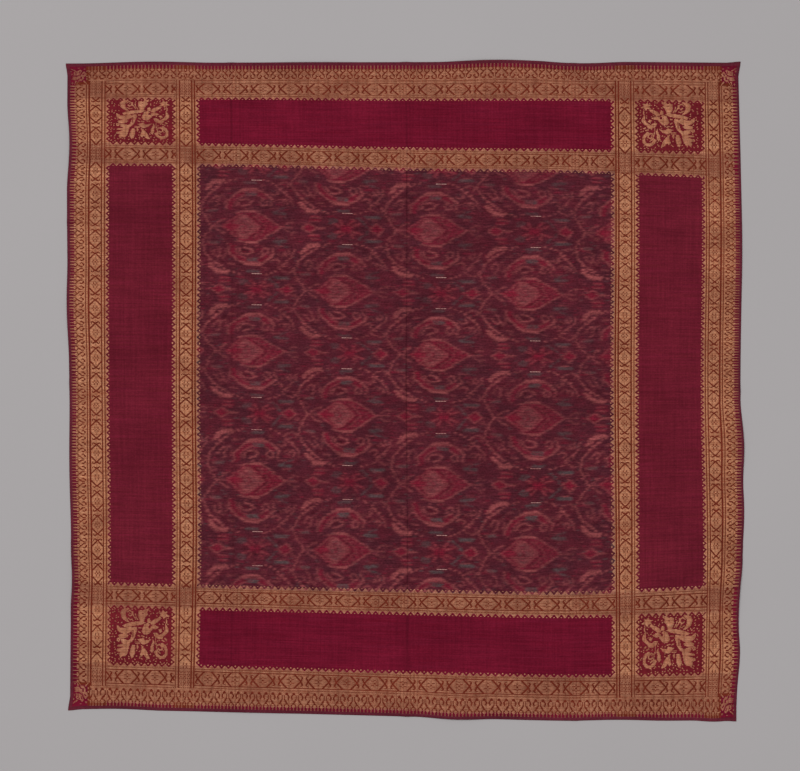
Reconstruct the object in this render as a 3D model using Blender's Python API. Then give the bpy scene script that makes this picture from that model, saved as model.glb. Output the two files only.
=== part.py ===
"""Square silk headcloth, woven in one piece, lying flat with wavy edges and soft old folds.

The cloth is worked out from its flat weave: a point of the flat cloth is carried by the
drift of the nearest woven lines, then by the edge waves and the corner tips, and is raised
a little where a fold or an edge does not quite lie down. Lengths in the tables are in
millimetres; the mesh is in metres, +Z up, with its underside on Z = 0.
"""

from typing import NamedTuple

import bpy
import numpy as np

MM = 0.001

# Driving sizes of the cloth, in millimetres
THICKNESS = 1.2
HEM_THICKNESS = 1.7
HEM_WIDTH = 5.0
WIDEST_CELL = 30.0
TIP_REACH = 16.0

SILK_RED = (0.19, 0.012, 0.028, 1.0)
SILK_ROUGHNESS = 0.55


class Line(NamedTuple):
    """One woven line: its place in the flat cloth and its drift at five stations along it."""

    name: str
    place: float
    drift: tuple[float, float, float, float, float]


class Wave(NamedTuple):
    """A stretch of an edge that lies further out (+) or in (-) than its line."""

    edge: str
    along: float
    out: float
    half_length: float


class Tip(NamedTuple):
    """The sewn point of a corner: which corner, and how far it is pulled out."""

    right: bool
    top: bool
    out_x: float
    out_y: float


class Fold(NamedTuple):
    """A soft ridge that runs across the whole cloth."""

    upright: bool
    place: float
    height: float
    half_width: float


class Lift(NamedTuple):
    """A place at an edge where the cloth stands a little off the surface."""

    edge: str
    along: float
    height: float
    half_length: float
    reach: float


# Upright lines, drift in X at the top, upper, middle, lower and bottom stations
COLUMNS = (
    Line("left edge", -440.0, (-2.6, -3.2, -0.2, 2.0, 0.8)),
    Line("left border, inner side", -388.5, (0.7, -0.5, -0.1, 1.9, 0.3)),
    Line("left panel, inner side", -305.5, (0.7, 0.6, 0.2, 0.7, -1.4)),
    Line("field, left side", -269.5, (-1.3, 0.8, 0.2, 1.8, -2.6)),
    Line("field, right side", 269.5, (0.7, 1.2, 0.1, 1.8, 2.8)),
    Line("right panel, inner side", 305.5, (-0.6, 1.3, 0.5, 1.4, 0.5)),
    Line("right border, inner side", 388.5, (-0.6, 1.1, -0.6, 2.6, 0.1)),
    Line("right edge", 440.0, (-3.3, 1.8, -0.2, 2.8, -6.2)),
)

# Level lines, drift in Y at the left, left-centre, centre, right-centre and right stations
ROWS = (
    Line("bottom edge", -425.0, (7.9, 3.8, -1.8, -7.6, -6.6)),
    Line("bottom border, inner side", -368.5, (13.1, 6.5, 0.0, -4.7, -0.7)),
    Line("bottom panel, inner side", -290.5, (10.5, 5.1, 0.0, -4.1, 2.0)),
    Line("field, bottom side", -260.5, (10.7, 4.8, 0.2, -2.6, 7.4)),
    Line("field, top side", 292.0, (7.0, 5.2, 0.2, -2.7, -11.3)),
    Line("top panel, inner side", 318.5, (8.3, 4.5, 0.0, -2.3, -6.6)),
    Line("top border, inner side", 382.5, (0.5, 1.5, 0.1, 0.3, -3.5)),
    Line("top edge", 430.0, (-0.6, 0.6, 1.2, 1.8, 0.3)),
)

WAVES = (
    Wave("left", 316.0, -3.4, 62.0),
    Wave("left", 100.0, 1.6, 64.0),
    Wave("left", -110.0, 1.4, 90.0),
    Wave("left", -258.0, -1.6, 40.0),
    Wave("right", -72.0, 3.4, 62.0),
    Wave("right", -158.0, 2.0, 60.0),
    Wave("right", -286.0, -3.0, 58.0),
    Wave("right", -350.0, 1.6, 40.0),
    Wave("top", -335.0, 1.9, 90.0),
    Wave("top", 124.0, 2.4, 86.0),
    Wave("top", 232.0, -2.0, 60.0),
    Wave("bottom", -375.0, -1.4, 60.0),
    Wave("bottom", 66.0, 1.9, 52.0),
    Wave("bottom", 276.0, -1.6, 70.0),
    Wave("bottom", 408.0, 1.8, 34.0),
)

TIPS = (
    Tip(False, True, 2.2, 0.0),
    Tip(True, True, 3.2, 1.6),
    Tip(False, False, 2.6, 1.8),
    Tip(True, False, 0.6, 1.6),
)

FOLDS = (
    Fold(True, -227.0, 1.2, 9.0),
    Fold(True, 1.5, 1.5, 11.0),
    Fold(True, 221.0, 0.9, 9.0),
    Fold(False, 214.0, 0.8, 10.0),
    Fold(False, 1.0, 1.0, 11.0),
    Fold(False, -212.0, 0.8, 10.0),
)

LIFTS = (
    Lift("left", 316.0, 2.4, 70.0, 46.0),
    Lift("left", 95.0, 1.6, 80.0, 30.0),
    Lift("left", -260.0, 2.0, 60.0, 36.0),
    Lift("right", -72.0, 2.2, 60.0, 34.0),
    Lift("right", -268.0, 2.8, 64.0, 44.0),
    Lift("right", 190.0, 1.4, 80.0, 30.0),
    Lift("top", -120.0, 1.6, 70.0, 30.0),
    Lift("top", 104.0, 2.0, 70.0, 34.0),
    Lift("bottom", 66.0, 2.2, 56.0, 36.0),
    Lift("bottom", -205.0, 1.4, 80.0, 28.0),
)

LEFT, RIGHT = COLUMNS[0].place, COLUMNS[-1].place
BOTTOM, TOP = ROWS[0].place, ROWS[-1].place


def station_weights(t: np.ndarray, stations: int) -> np.ndarray:
    """Catmull-Rom weights of evenly spaced stations at the fractions t, one row each."""
    reach = np.clip(t, 0.0, 1.0) * (stations - 1)
    first = np.minimum(reach.astype(int), stations - 2)
    f = reach - first
    spans = (
        -0.5 * f + f ** 2 - 0.5 * f ** 3,
        1.0 - 2.5 * f ** 2 + 1.5 * f ** 3,
        0.5 * f + 2.0 * f ** 2 - 1.5 * f ** 3,
        -0.5 * f ** 2 + 0.5 * f ** 3,
    )
    padded = np.zeros((t.size, stations + 2))
    rows = np.arange(t.size)
    for step, weight in enumerate(spans):
        padded[rows, first + step] += weight
    weights = padded[:, 1:-1].copy()
    weights[:, 0] += 2.0 * padded[:, 0]
    weights[:, 1] -= padded[:, 0]
    weights[:, -1] += 2.0 * padded[:, -1]
    weights[:, -2] -= padded[:, -1]
    return weights


def drift(lines: tuple[Line, ...], across: np.ndarray, along: np.ndarray) -> np.ndarray:
    """How far the lines carry each point: smooth along a line, straight between two lines."""
    places = [line.place for line in lines]
    weights = station_weights(along, len(lines[0].drift))
    total = np.zeros(across.size)
    for index, line in enumerate(lines):
        share = np.interp(across, places, np.eye(len(lines))[index])
        total += share * (weights @ np.array(line.drift))
    return total


def hump(distance: np.ndarray, half_width: float) -> np.ndarray:
    """A smooth hump, 1 at the middle and 0 from half_width on: (1 - s^2)^2."""
    s = np.clip(np.abs(distance) / half_width, 0.0, 1.0)
    return (1.0 - s ** 2) ** 2


def edge_place(edge: str, u: np.ndarray, v: np.ndarray) -> tuple[np.ndarray, np.ndarray]:
    """Place along an edge, and depth in from it, of each flat point."""
    if edge == "left":
        return v, u - LEFT
    if edge == "right":
        return v, RIGHT - u
    if edge == "top":
        return u, TOP - v
    return u, v - BOTTOM


def laid(u: np.ndarray, v: np.ndarray) -> tuple[np.ndarray, np.ndarray]:
    """Where the flat point (u, v) lies on the surface, in millimetres."""
    x = u + drift(COLUMNS, u, (TOP - v) / (TOP - BOTTOM))
    y = v + drift(ROWS, v, (u - LEFT) / (RIGHT - LEFT))
    outward = {"left": (-1.0, 0.0), "right": (1.0, 0.0), "top": (0.0, 1.0), "bottom": (0.0, -1.0)}
    wave_depth = 50.0
    for wave in WAVES:
        along, depth = edge_place(wave.edge, u, v)
        push = wave.out * hump(along - wave.along, wave.half_length) * hump(depth, wave_depth)
        x = x + push * outward[wave.edge][0]
        y = y + push * outward[wave.edge][1]
    for tip in TIPS:
        corner_u = RIGHT if tip.right else LEFT
        corner_v = TOP if tip.top else BOTTOM
        pull = hump(np.hypot(u - corner_u, v - corner_v), TIP_REACH)
        x = x + pull * (tip.out_x if tip.right else -tip.out_x)
        y = y + pull * (tip.out_y if tip.top else -tip.out_y)
    return x, y


def raised(u: np.ndarray, v: np.ndarray) -> np.ndarray:
    """Height of the underside above the surface: the highest fold or lift at the point."""
    height = np.zeros(u.size)
    for fold in FOLDS:
        across = u if fold.upright else v
        height = np.maximum(height, fold.height * hump(across - fold.place, fold.half_width))
    for lift in LIFTS:
        along, depth = edge_place(lift.edge, u, v)
        bump = hump(along - lift.along, lift.half_length) * hump(depth, lift.reach)
        height = np.maximum(height, lift.height * bump)
    return height


def thickness(u: np.ndarray, v: np.ndarray) -> np.ndarray:
    """The cloth's own thickness, greater where the hem is turned."""
    depth = np.minimum(np.minimum(u - LEFT, RIGHT - u), np.minimum(v - BOTTOM, TOP - v))
    share = np.clip(1.0 - depth / HEM_WIDTH, 0.0, 1.0)
    return THICKNESS + (HEM_THICKNESS - THICKNESS) * share


def stops(lines: tuple[Line, ...], upright: bool) -> np.ndarray:
    """Grid places across the cloth: its lines, folds and hems, with gaps split evenly."""
    places = {line.place for line in lines}
    low, high = lines[0].place, lines[-1].place
    places |= {low + HEM_WIDTH, low + TIP_REACH, high - HEM_WIDTH, high - TIP_REACH}
    for fold in FOLDS:
        if fold.upright == upright:
            places |= {fold.place - fold.half_width, fold.place, fold.place + fold.half_width}
    ordered = sorted(places)
    runs = []
    for start, end in zip(ordered, ordered[1:]):
        cells = max(1, round((end - start) / WIDEST_CELL + 0.35))
        runs.append(np.linspace(start, end, cells, endpoint=False))
    return np.append(np.concatenate(runs), high)


def closed_sheet(u_stops: np.ndarray, v_stops: np.ndarray) -> tuple[np.ndarray, list]:
    """Points and faces of the sheet: an underside, a top side and a wall round the rim."""
    grid_u, grid_v = (g.ravel() for g in np.meshgrid(u_stops, v_stops))
    x, y = laid(grid_u, grid_v)
    under = raised(grid_u, grid_v)
    above = under + thickness(grid_u, grid_v)
    points = np.concatenate([np.stack([x, y, under], axis=1), np.stack([x, y, above], axis=1)])
    columns, rows = u_stops.size, v_stops.size
    count = columns * rows
    index = np.arange(count).reshape(rows, columns)
    a, b = index[:-1, :-1].ravel(), index[:-1, 1:].ravel()
    c, d = index[1:, 1:].ravel(), index[1:, :-1].ravel()
    top_faces = np.stack([a, b, c, d], axis=1) + count
    under_faces = np.stack([a, d, c, b], axis=1)
    rim = np.concatenate([index[0, :-1], index[:-1, -1], index[-1, :0:-1], index[:0:-1, 0]])
    after = np.roll(rim, -1)
    wall = np.stack([rim, after, after + count, rim + count], axis=1)
    faces = np.concatenate([top_faces, under_faces, wall])
    return points * MM, faces.tolist()


def silk() -> bpy.types.Material:
    """Plain deep-red woven silk."""
    material = bpy.data.materials.new("woven_silk")
    material.use_nodes = True
    shader = material.node_tree.nodes["Principled BSDF"]
    shader.inputs["Base Color"].default_value = SILK_RED
    shader.inputs["Roughness"].default_value = SILK_ROUGHNESS
    shader.inputs["Metallic"].default_value = 0.0
    return material


def headcloth() -> bpy.types.Object:
    """The whole cloth as one solid, hems and all."""
    points, faces = closed_sheet(stops(COLUMNS, True), stops(ROWS, False))
    mesh = bpy.data.meshes.new("headcloth")
    mesh.from_pydata(points.tolist(), [], faces)
    mesh.validate()
    mesh.materials.append(silk())
    mesh.shade_smooth()
    piece = bpy.data.objects.new("headcloth", mesh)
    bpy.context.scene.collection.objects.link(piece)
    return piece


def clear_scene() -> None:
    """Remove whatever the scene holds."""
    for item in list(bpy.data.objects):
        bpy.data.objects.remove(item, do_unlink=True)


clear_scene()
headcloth()
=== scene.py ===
"""Square silk headcloth lying flat: crimson silk, gold-thread borders and a weft-dyed middle.

The cloth is worked out in its flat weave first. A place on it is u along the weft and v along
the warp, in millimetres from its middle, or a cell of the weaving chart: a column counted from
the left edge and a row counted from the bottom edge. `Laying` carries a flat place to where the
cloth lies, `Loom` turns chart cells into flat places, and every piece goes through both, so that
the gold, the dyed middle and the silk under them keep together along every wave and fold.
"""

import logging
from dataclasses import dataclass
from enum import Enum
from typing import NamedTuple
import bpy
import numpy as np
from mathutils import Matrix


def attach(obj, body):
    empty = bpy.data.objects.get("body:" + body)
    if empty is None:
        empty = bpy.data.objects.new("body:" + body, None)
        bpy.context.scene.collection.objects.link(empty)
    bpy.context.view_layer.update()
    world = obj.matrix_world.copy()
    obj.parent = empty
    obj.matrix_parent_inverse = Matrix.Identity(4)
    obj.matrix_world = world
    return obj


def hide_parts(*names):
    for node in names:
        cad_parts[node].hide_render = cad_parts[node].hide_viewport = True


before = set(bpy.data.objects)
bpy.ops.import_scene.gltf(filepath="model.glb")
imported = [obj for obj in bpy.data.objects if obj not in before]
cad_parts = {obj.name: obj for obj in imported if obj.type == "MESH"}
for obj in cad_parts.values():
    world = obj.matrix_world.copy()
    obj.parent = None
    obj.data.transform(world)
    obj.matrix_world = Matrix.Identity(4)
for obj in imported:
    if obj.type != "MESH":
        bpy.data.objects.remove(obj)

MM = 0.001
BODY = "root"
RGBA = {"data_type": "RGBA"}
MULTIPLY = {"data_type": "RGBA", "blend_type": "MULTIPLY"}
# a colour mix's sockets: its factor, its two colours, and its outcome
FACTOR, FIRST, SECOND, MIXED = 0, 6, 7, 2
log = logging.getLogger("headcloth")

Array = np.ndarray
Point = tuple[float, float]


class Line(NamedTuple):
    """One woven line: its place in the flat cloth and its drift at five stations along it."""

    name: str
    place: float
    drift: tuple[float, float, float, float, float]


class Wave(NamedTuple):
    """A stretch of an edge that lies further out (+) or in (-) than its line."""

    edge: str
    along: float
    out: float
    half_length: float


class Tip(NamedTuple):
    """The sewn point of a corner: which corner, and how far it is pulled out."""

    right: bool
    top: bool
    out_x: float
    out_y: float


class Fold(NamedTuple):
    """A soft ridge that runs across the whole cloth, and how dark the painted shade on its crest is."""

    upright: bool
    place: float
    height: float
    half_width: float
    crease_shade: float


class Lift(NamedTuple):
    """A place at an edge where the cloth stands a little off the floor."""

    edge: str
    along: float
    height: float
    half_length: float
    reach: float


COLUMN_LINES = (
    Line("left edge", -440.0, (-2.6, -3.2, -0.2, 2.0, 0.8)),
    Line("left border, inner side", -388.5, (0.7, -0.5, -0.1, 1.9, 0.3)),
    Line("left panel, inner side", -305.5, (0.7, 0.6, 0.2, 0.7, -1.4)),
    Line("field, left side", -269.5, (-1.3, 0.8, 0.2, 1.8, -2.6)),
    Line("field, right side", 269.5, (0.7, 1.2, 0.1, 1.8, 2.8)),
    Line("right panel, inner side", 305.5, (-0.6, 1.3, 0.5, 1.4, 0.5)),
    Line("right border, inner side", 388.5, (-0.6, 1.1, -0.6, 2.6, 0.1)),
    Line("right edge", 440.0, (-3.3, 1.8, -0.2, 2.8, -6.2)),
)
ROW_LINES = (
    Line("bottom edge", -425.0, (7.9, 3.8, -1.8, -7.6, -6.6)),
    Line("bottom border, inner side", -368.5, (13.1, 6.5, 0.0, -4.7, -0.7)),
    Line("bottom panel, inner side", -290.5, (10.5, 5.1, 0.0, -4.1, 2.0)),
    Line("field, bottom side", -260.5, (10.7, 4.8, 0.2, -2.6, 7.4)),
    Line("field, top side", 292.0, (7.0, 5.2, 0.2, -2.7, -11.3)),
    Line("top panel, inner side", 318.5, (8.3, 4.5, 0.0, -2.3, -6.6)),
    Line("top border, inner side", 382.5, (0.5, 1.5, 0.1, 0.3, -3.5)),
    Line("top edge", 430.0, (-0.6, 0.6, 1.2, 1.8, 0.3)),
)
WAVES = (
    Wave("left", 316.0, -3.4, 62.0),
    Wave("left", 100.0, 1.6, 64.0),
    Wave("left", -110.0, 1.4, 90.0),
    Wave("left", -258.0, -1.6, 40.0),
    Wave("right", -72.0, 3.4, 62.0),
    Wave("right", -158.0, 2.0, 60.0),
    Wave("right", -286.0, -3.0, 58.0),
    Wave("right", -350.0, 1.6, 40.0),
    Wave("top", -335.0, 1.9, 90.0),
    Wave("top", 124.0, 2.4, 86.0),
    Wave("top", 232.0, -2.0, 60.0),
    Wave("bottom", -375.0, -1.4, 60.0),
    Wave("bottom", 66.0, 1.9, 52.0),
    Wave("bottom", 276.0, -1.6, 70.0),
    Wave("bottom", 408.0, 1.8, 34.0),
)
TIPS = (
    Tip(False, True, 2.2, 0.0),
    Tip(True, True, 3.2, 1.6),
    Tip(False, False, 2.6, 1.8),
    Tip(True, False, 0.6, 1.6),
)
# each fold: upright or level, place, height, half width, and how dark the painted shade on its crest is,
# standing in for the shadow in the crease
FOLDS = (
    Fold(True, -227.0, 1.2, 9.0, 0.9),
    Fold(True, 1.5, 1.5, 11.0, 1.0),
    Fold(True, 221.0, 0.9, 9.0, 0.5),
    Fold(False, 214.0, 0.8, 10.0, 0.25),
    Fold(False, 1.0, 1.0, 11.0, 0.3),
    Fold(False, -212.0, 0.8, 10.0, 0.25),
)
LIFTS = (
    Lift("left", 316.0, 2.4, 70.0, 46.0),
    Lift("left", 95.0, 1.6, 80.0, 30.0),
    Lift("left", -260.0, 2.0, 60.0, 36.0),
    Lift("right", -72.0, 2.2, 60.0, 34.0),
    Lift("right", -268.0, 2.8, 64.0, 44.0),
    Lift("right", 190.0, 1.4, 80.0, 30.0),
    Lift("top", -120.0, 1.6, 70.0, 30.0),
    Lift("top", 104.0, 2.0, 70.0, 34.0),
    Lift("bottom", 66.0, 2.2, 56.0, 36.0),
    Lift("bottom", -205.0, 1.4, 80.0, 28.0),
)
LEFT, RIGHT = COLUMN_LINES[0].place, COLUMN_LINES[-1].place
BOTTOM, TOP = ROW_LINES[0].place, ROW_LINES[-1].place


def hump(distance: Array, half_width: float) -> Array:
    """A smooth hump, 1 at the middle and 0 from half_width on: (1 - s^2)^2."""
    s = np.clip(np.abs(distance) / half_width, 0.0, 1.0)
    return (1.0 - s ** 2) ** 2


def station_weights(t: Array, stations: int) -> Array:
    """Catmull-Rom weights of evenly spaced stations.

    Args:
        t: fractions along the line, 0 to 1.
        stations: how many stations the line has.

    Returns:
        One row of weights for each fraction; the end spans carry on straight.
    """
    reach = np.clip(t, 0.0, 1.0) * (stations - 1)
    first = np.minimum(reach.astype(int), stations - 2)
    f = reach - first
    spans = (
        -0.5 * f + f ** 2 - 0.5 * f ** 3,
        1.0 - 2.5 * f ** 2 + 1.5 * f ** 3,
        0.5 * f + 2.0 * f ** 2 - 1.5 * f ** 3,
        -0.5 * f ** 2 + 0.5 * f ** 3,
    )
    padded = np.zeros((t.size, stations + 2))
    rows = np.arange(t.size)
    for step, weight in enumerate(spans):
        padded[rows, first + step] += weight
    weights = padded[:, 1:-1].copy()
    weights[:, 0] += 2.0 * padded[:, 0]
    weights[:, 1] -= padded[:, 0]
    weights[:, -1] += 2.0 * padded[:, -1]
    weights[:, -2] -= padded[:, -1]
    return weights


@dataclass(frozen=True)
class Laying:
    """How the flat cloth lies on the floor. Lengths are in millimetres."""

    thickness: float = 1.2
    hem_width: float = 5.0
    hem_rise: float = 0.55
    hem_droop: float = 0.45
    wave_depth: float = 50.0
    tip_reach: float = 16.0
    # half width of the painted shade on a fold's crest
    crease_shade_half_width: float = 2.4

    def drift(self, lines: tuple[Line, ...], across: Array, along: Array) -> Array:
        """How far the lines carry each point.

        Args:
            lines: the woven lines that run one way.
            across: the points' places across those lines.
            along: the points' fractions along those lines.

        Returns:
            The drift: smooth along a line, straight between two lines.
        """
        places = [line.place for line in lines]
        weights = station_weights(along, len(lines[0].drift))
        total = np.zeros(across.size)
        for index, line in enumerate(lines):
            share = np.interp(across, places, np.eye(len(lines))[index])
            total += share * (weights @ np.array(line.drift))
        return total

    def edge_place(self, edge: str, u: Array, v: Array) -> tuple[Array, Array]:
        """Place along an edge, and depth in from it, of each flat point.

        Args:
            edge: left, right, top or bottom.
            u: places along the weft.
            v: places along the warp.

        Returns:
            The places along the edge, and the depths.
        """
        if edge == "left":
            return v, u - LEFT
        if edge == "right":
            return v, RIGHT - u
        if edge == "top":
            return u, TOP - v
        return u, v - BOTTOM

    def laid(self, u: Array, v: Array) -> tuple[Array, Array]:
        """Where flat points lie: flat place + line drift + edge waves + corner tips.

        Args:
            u: places along the weft.
            v: places along the warp.

        Returns:
            Their X and Y on the floor.
        """
        x = u + self.drift(COLUMN_LINES, u, (TOP - v) / (TOP - BOTTOM))
        y = v + self.drift(ROW_LINES, v, (u - LEFT) / (RIGHT - LEFT))
        outward = {"left": (-1.0, 0.0), "right": (1.0, 0.0), "top": (0.0, 1.0), "bottom": (0.0, -1.0)}
        for wave in WAVES:
            along, depth = self.edge_place(wave.edge, u, v)
            push = wave.out * hump(along - wave.along, wave.half_length) * hump(depth, self.wave_depth)
            x = x + push * outward[wave.edge][0]
            y = y + push * outward[wave.edge][1]
        for tip in TIPS:
            corner_u = RIGHT if tip.right else LEFT
            corner_v = TOP if tip.top else BOTTOM
            pull = hump(np.hypot(u - corner_u, v - corner_v), self.tip_reach)
            x = x + pull * (tip.out_x if tip.right else -tip.out_x)
            y = y + pull * (tip.out_y if tip.top else -tip.out_y)
        return x, y

    def raised(self, u: Array, v: Array) -> Array:
        """Height of the underside above the floor: the highest fold or lift at the point.

        Args:
            u: places along the weft.
            v: places along the warp.

        Returns:
            The heights.
        """
        height = np.zeros(u.size)
        for fold in FOLDS:
            across = u if fold.upright else v
            height = np.maximum(height, fold.height * hump(across - fold.place, fold.half_width))
        for lift in LIFTS:
            along, depth = self.edge_place(lift.edge, u, v)
            bump = hump(along - lift.along, lift.half_length) * hump(depth, lift.reach)
            height = np.maximum(height, lift.height * bump)
        return height

    def depth(self, u: Array, v: Array) -> Array:
        """Distance of each flat point from the nearest edge of the cloth."""
        return np.minimum(np.minimum(u - LEFT, RIGHT - u), np.minimum(v - BOTTOM, TOP - v))

    def top(self, u: Array, v: Array) -> Array:
        """Height of the upper side: underside + thickness + a half-round hem roll at the edge.

        The roll is sqrt(1 - s^2) over the hem's width, with its outer side turned down.

        Args:
            u: places along the weft.
            v: places along the warp.

        Returns:
            The heights.
        """
        s = np.clip(2.0 * self.depth(u, v) / self.hem_width - 1.0, -1.0, 1.0)
        roll = self.hem_rise * np.sqrt(1.0 - s ** 2)
        turned_down = self.hem_droop * np.clip(-s, 0.0, 1.0) ** 2
        return self.raised(u, v) + self.thickness + roll - turned_down

    def crease_shade(self, u: Array, v: Array) -> Array:
        """How dark the painted shade along a fold's crease is at each point, 0 to 1; it stands in for the
        shadow in the crease.

        It is a narrow hump on the crest, which fades in and out along the fold by a sine.

        Args:
            u: places along the weft.
            v: places along the warp.

        Returns:
            The shares of the painted crease shade; the materials also sink a groove by them.
        """
        dark = np.zeros(u.size)
        for index, fold in enumerate(FOLDS):
            across, along = (u, v) if fold.upright else (v, u)
            fade = 0.65 + 0.35 * np.sin(along / 47.0 + 1.7 * index)
            line = hump(across - fold.place, self.crease_shade_half_width)
            dark = np.maximum(dark, fold.crease_shade * fade * line)
        return dark

    def points(self, u: Array, v: Array, above: Array | float = 0.0) -> Array:
        """Points on the upper side, raised by `above`, in metres, one row each."""
        x, y = self.laid(u, v)
        return np.stack([x, y, self.top(u, v) + above], axis=1) * MM


class Loom:
    """The chart's columns and rows, and the flat places where their zones end."""

    COLUMNS = (
        (0, -440.0), (5, -436.6), (28, -416.9), (33, -411.9), (51, -397.8), (55, -392.7),
        (61, -387.3), (149, -306.2), (154, -300.9), (161, -295.1), (179, -280.0), (185, -274.5),
        (191, -268.6), (225, -238.6), (345, -130.5), (465, -20.5), (585, 89.2), (665, 165.7),
        (745, 242.0), (777, 268.6), (783, 274.5), (789, 280.0), (807, 295.1), (814, 300.9),
        (819, 306.2), (907, 388.0), (913, 393.6), (917, 398.2), (935, 411.9), (940, 417.0),
        (963, 437.2), (968, 440.0),
    )
    ROWS = (
        (0, -425.0), (4, -421.0), (27, -396.5), (31, -392.5), (49, -376.0), (53, -371.8),
        (59, -366.5), (139, -293.6), (144, -288.4), (148, -283.9), (166, -269.4), (170, -265.2),
        (175, -259.9), (880, 288.6), (885, 293.0), (889, 296.7), (907, 311.3), (911, 314.9),
        (916, 319.5), (992, 380.2), (997, 384.2), (1001, 387.8), (1019, 401.6), (1023, 406.3),
        (1046, 425.6), (1051, 430.0),
    )
    LEVEL_BANDS = ((-9, 59), (139, 175), (880, 916), (992, 1060))
    PANEL_COLUMNS = (61, 149)
    PANEL_ROWS = ((59, 139), (916, 992))
    # depth of the combs in threads, and how far red shows through the gold there and in the panels
    SIDE_COMB, LOW_COMB = 10.6, 7.2
    COMB_RED, PANEL_RED = 0.5, 0.08

    @property
    def shape(self) -> tuple[int, int]:
        """Rows and columns of the whole chart."""
        return self.ROWS[-1][0], self.COLUMNS[-1][0]

    def u(self, column: Array) -> Array:
        """Flat place of a column, straight between the zone ends."""
        cells, places = zip(*self.COLUMNS)
        return np.interp(column, cells, places)

    def v(self, row: Array) -> Array:
        """Flat place of a row, straight between the zone ends."""
        cells, places = zip(*self.ROWS)
        return np.interp(row, cells, places)

    def row_at(self, v: Array) -> Array:
        """Row of a flat place."""
        cells, places = zip(*self.ROWS)
        return np.interp(v, places, cells)

    def level_share(self, v: Array) -> Array:
        """1 in the borders that run along the weft and 0 between them, eased over 4 rows."""
        row = self.row_at(v)
        depths = [np.minimum(row - low, high - row) for low, high in self.LEVEL_BANDS]
        return np.clip(np.max(depths, axis=0) / 4.0, 0.0, 1.0)

    def red_share(self, u: Array, v: Array) -> Array:
        """How far red shows through the gold: by half in the outer combs, a little in the panels.

        Args:
            u: places along the weft.
            v: places along the warp.

        Returns:
            The shares of red.
        """
        column, row = self.column_at(u), self.row_at(v)
        rows, columns = self.shape
        from_side = np.minimum(column, columns - column)
        inset = np.minimum(row - self.LOW_COMB, rows - row - self.SIDE_COMB)
        inset = np.minimum(from_side - self.SIDE_COMB, inset)
        (low, low_end), (high, high_end) = self.PANEL_ROWS
        panel = (from_side > self.PANEL_COLUMNS[0]) & (from_side < self.PANEL_COLUMNS[1])
        panel &= ((row < low_end) | (row > high)) & (row > low) & (row < high_end)
        return np.where(inset < 0.0, self.COMB_RED, np.where(panel, self.PANEL_RED, 0.0))

    def column_at(self, u: Array) -> Array:
        """Column of a flat place."""
        cells, places = zip(*self.COLUMNS)
        return np.interp(u, places, cells)


def stroke_distance(x: Array, y: Array, path: tuple[Point, ...]) -> Array:
    """Distance of each point from a line of straight stretches: the least over the stretches.

    Args:
        x: the points' places across.
        y: their places upwards.
        path: the line's corners.

    Returns:
        One distance for each point.
    """
    nearest = np.full(np.broadcast(x, y).shape, np.inf)
    for (x0, y0), (x1, y1) in zip(path, path[1:]):
        dx, dy = x1 - x0, y1 - y0
        along = np.clip(((x - x0) * dx + (y - y0) * dy) / (dx * dx + dy * dy), 0.0, 1.0)
        nearest = np.minimum(nearest, np.hypot(x - x0 - along * dx, y - y0 - along * dy))
    return nearest


def inside(x: Array, y: Array, path: tuple[Point, ...]) -> Array:
    """True inside a closed outline: a ray from the point crosses it an odd number of times.

    Args:
        x: the points' places across.
        y: their places upwards.
        path: the outline's corners.

    Returns:
        True or False for each point.
    """
    odd = np.zeros(np.broadcast(x, y).shape, dtype=bool)
    for (x0, y0), (x1, y1) in zip(path, path[1:] + path[:1]):
        if y0 != y1:
            spans = (y0 > y) != (y1 > y)
            odd ^= spans & (x < (x1 - x0) * (y - y0) / (y1 - y0) + x0)
    return odd


def wrapped(value: Array, period: float) -> Array:
    """The value brought into half a period to each side of 0."""
    return (value + period / 2.0) % period - period / 2.0


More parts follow.
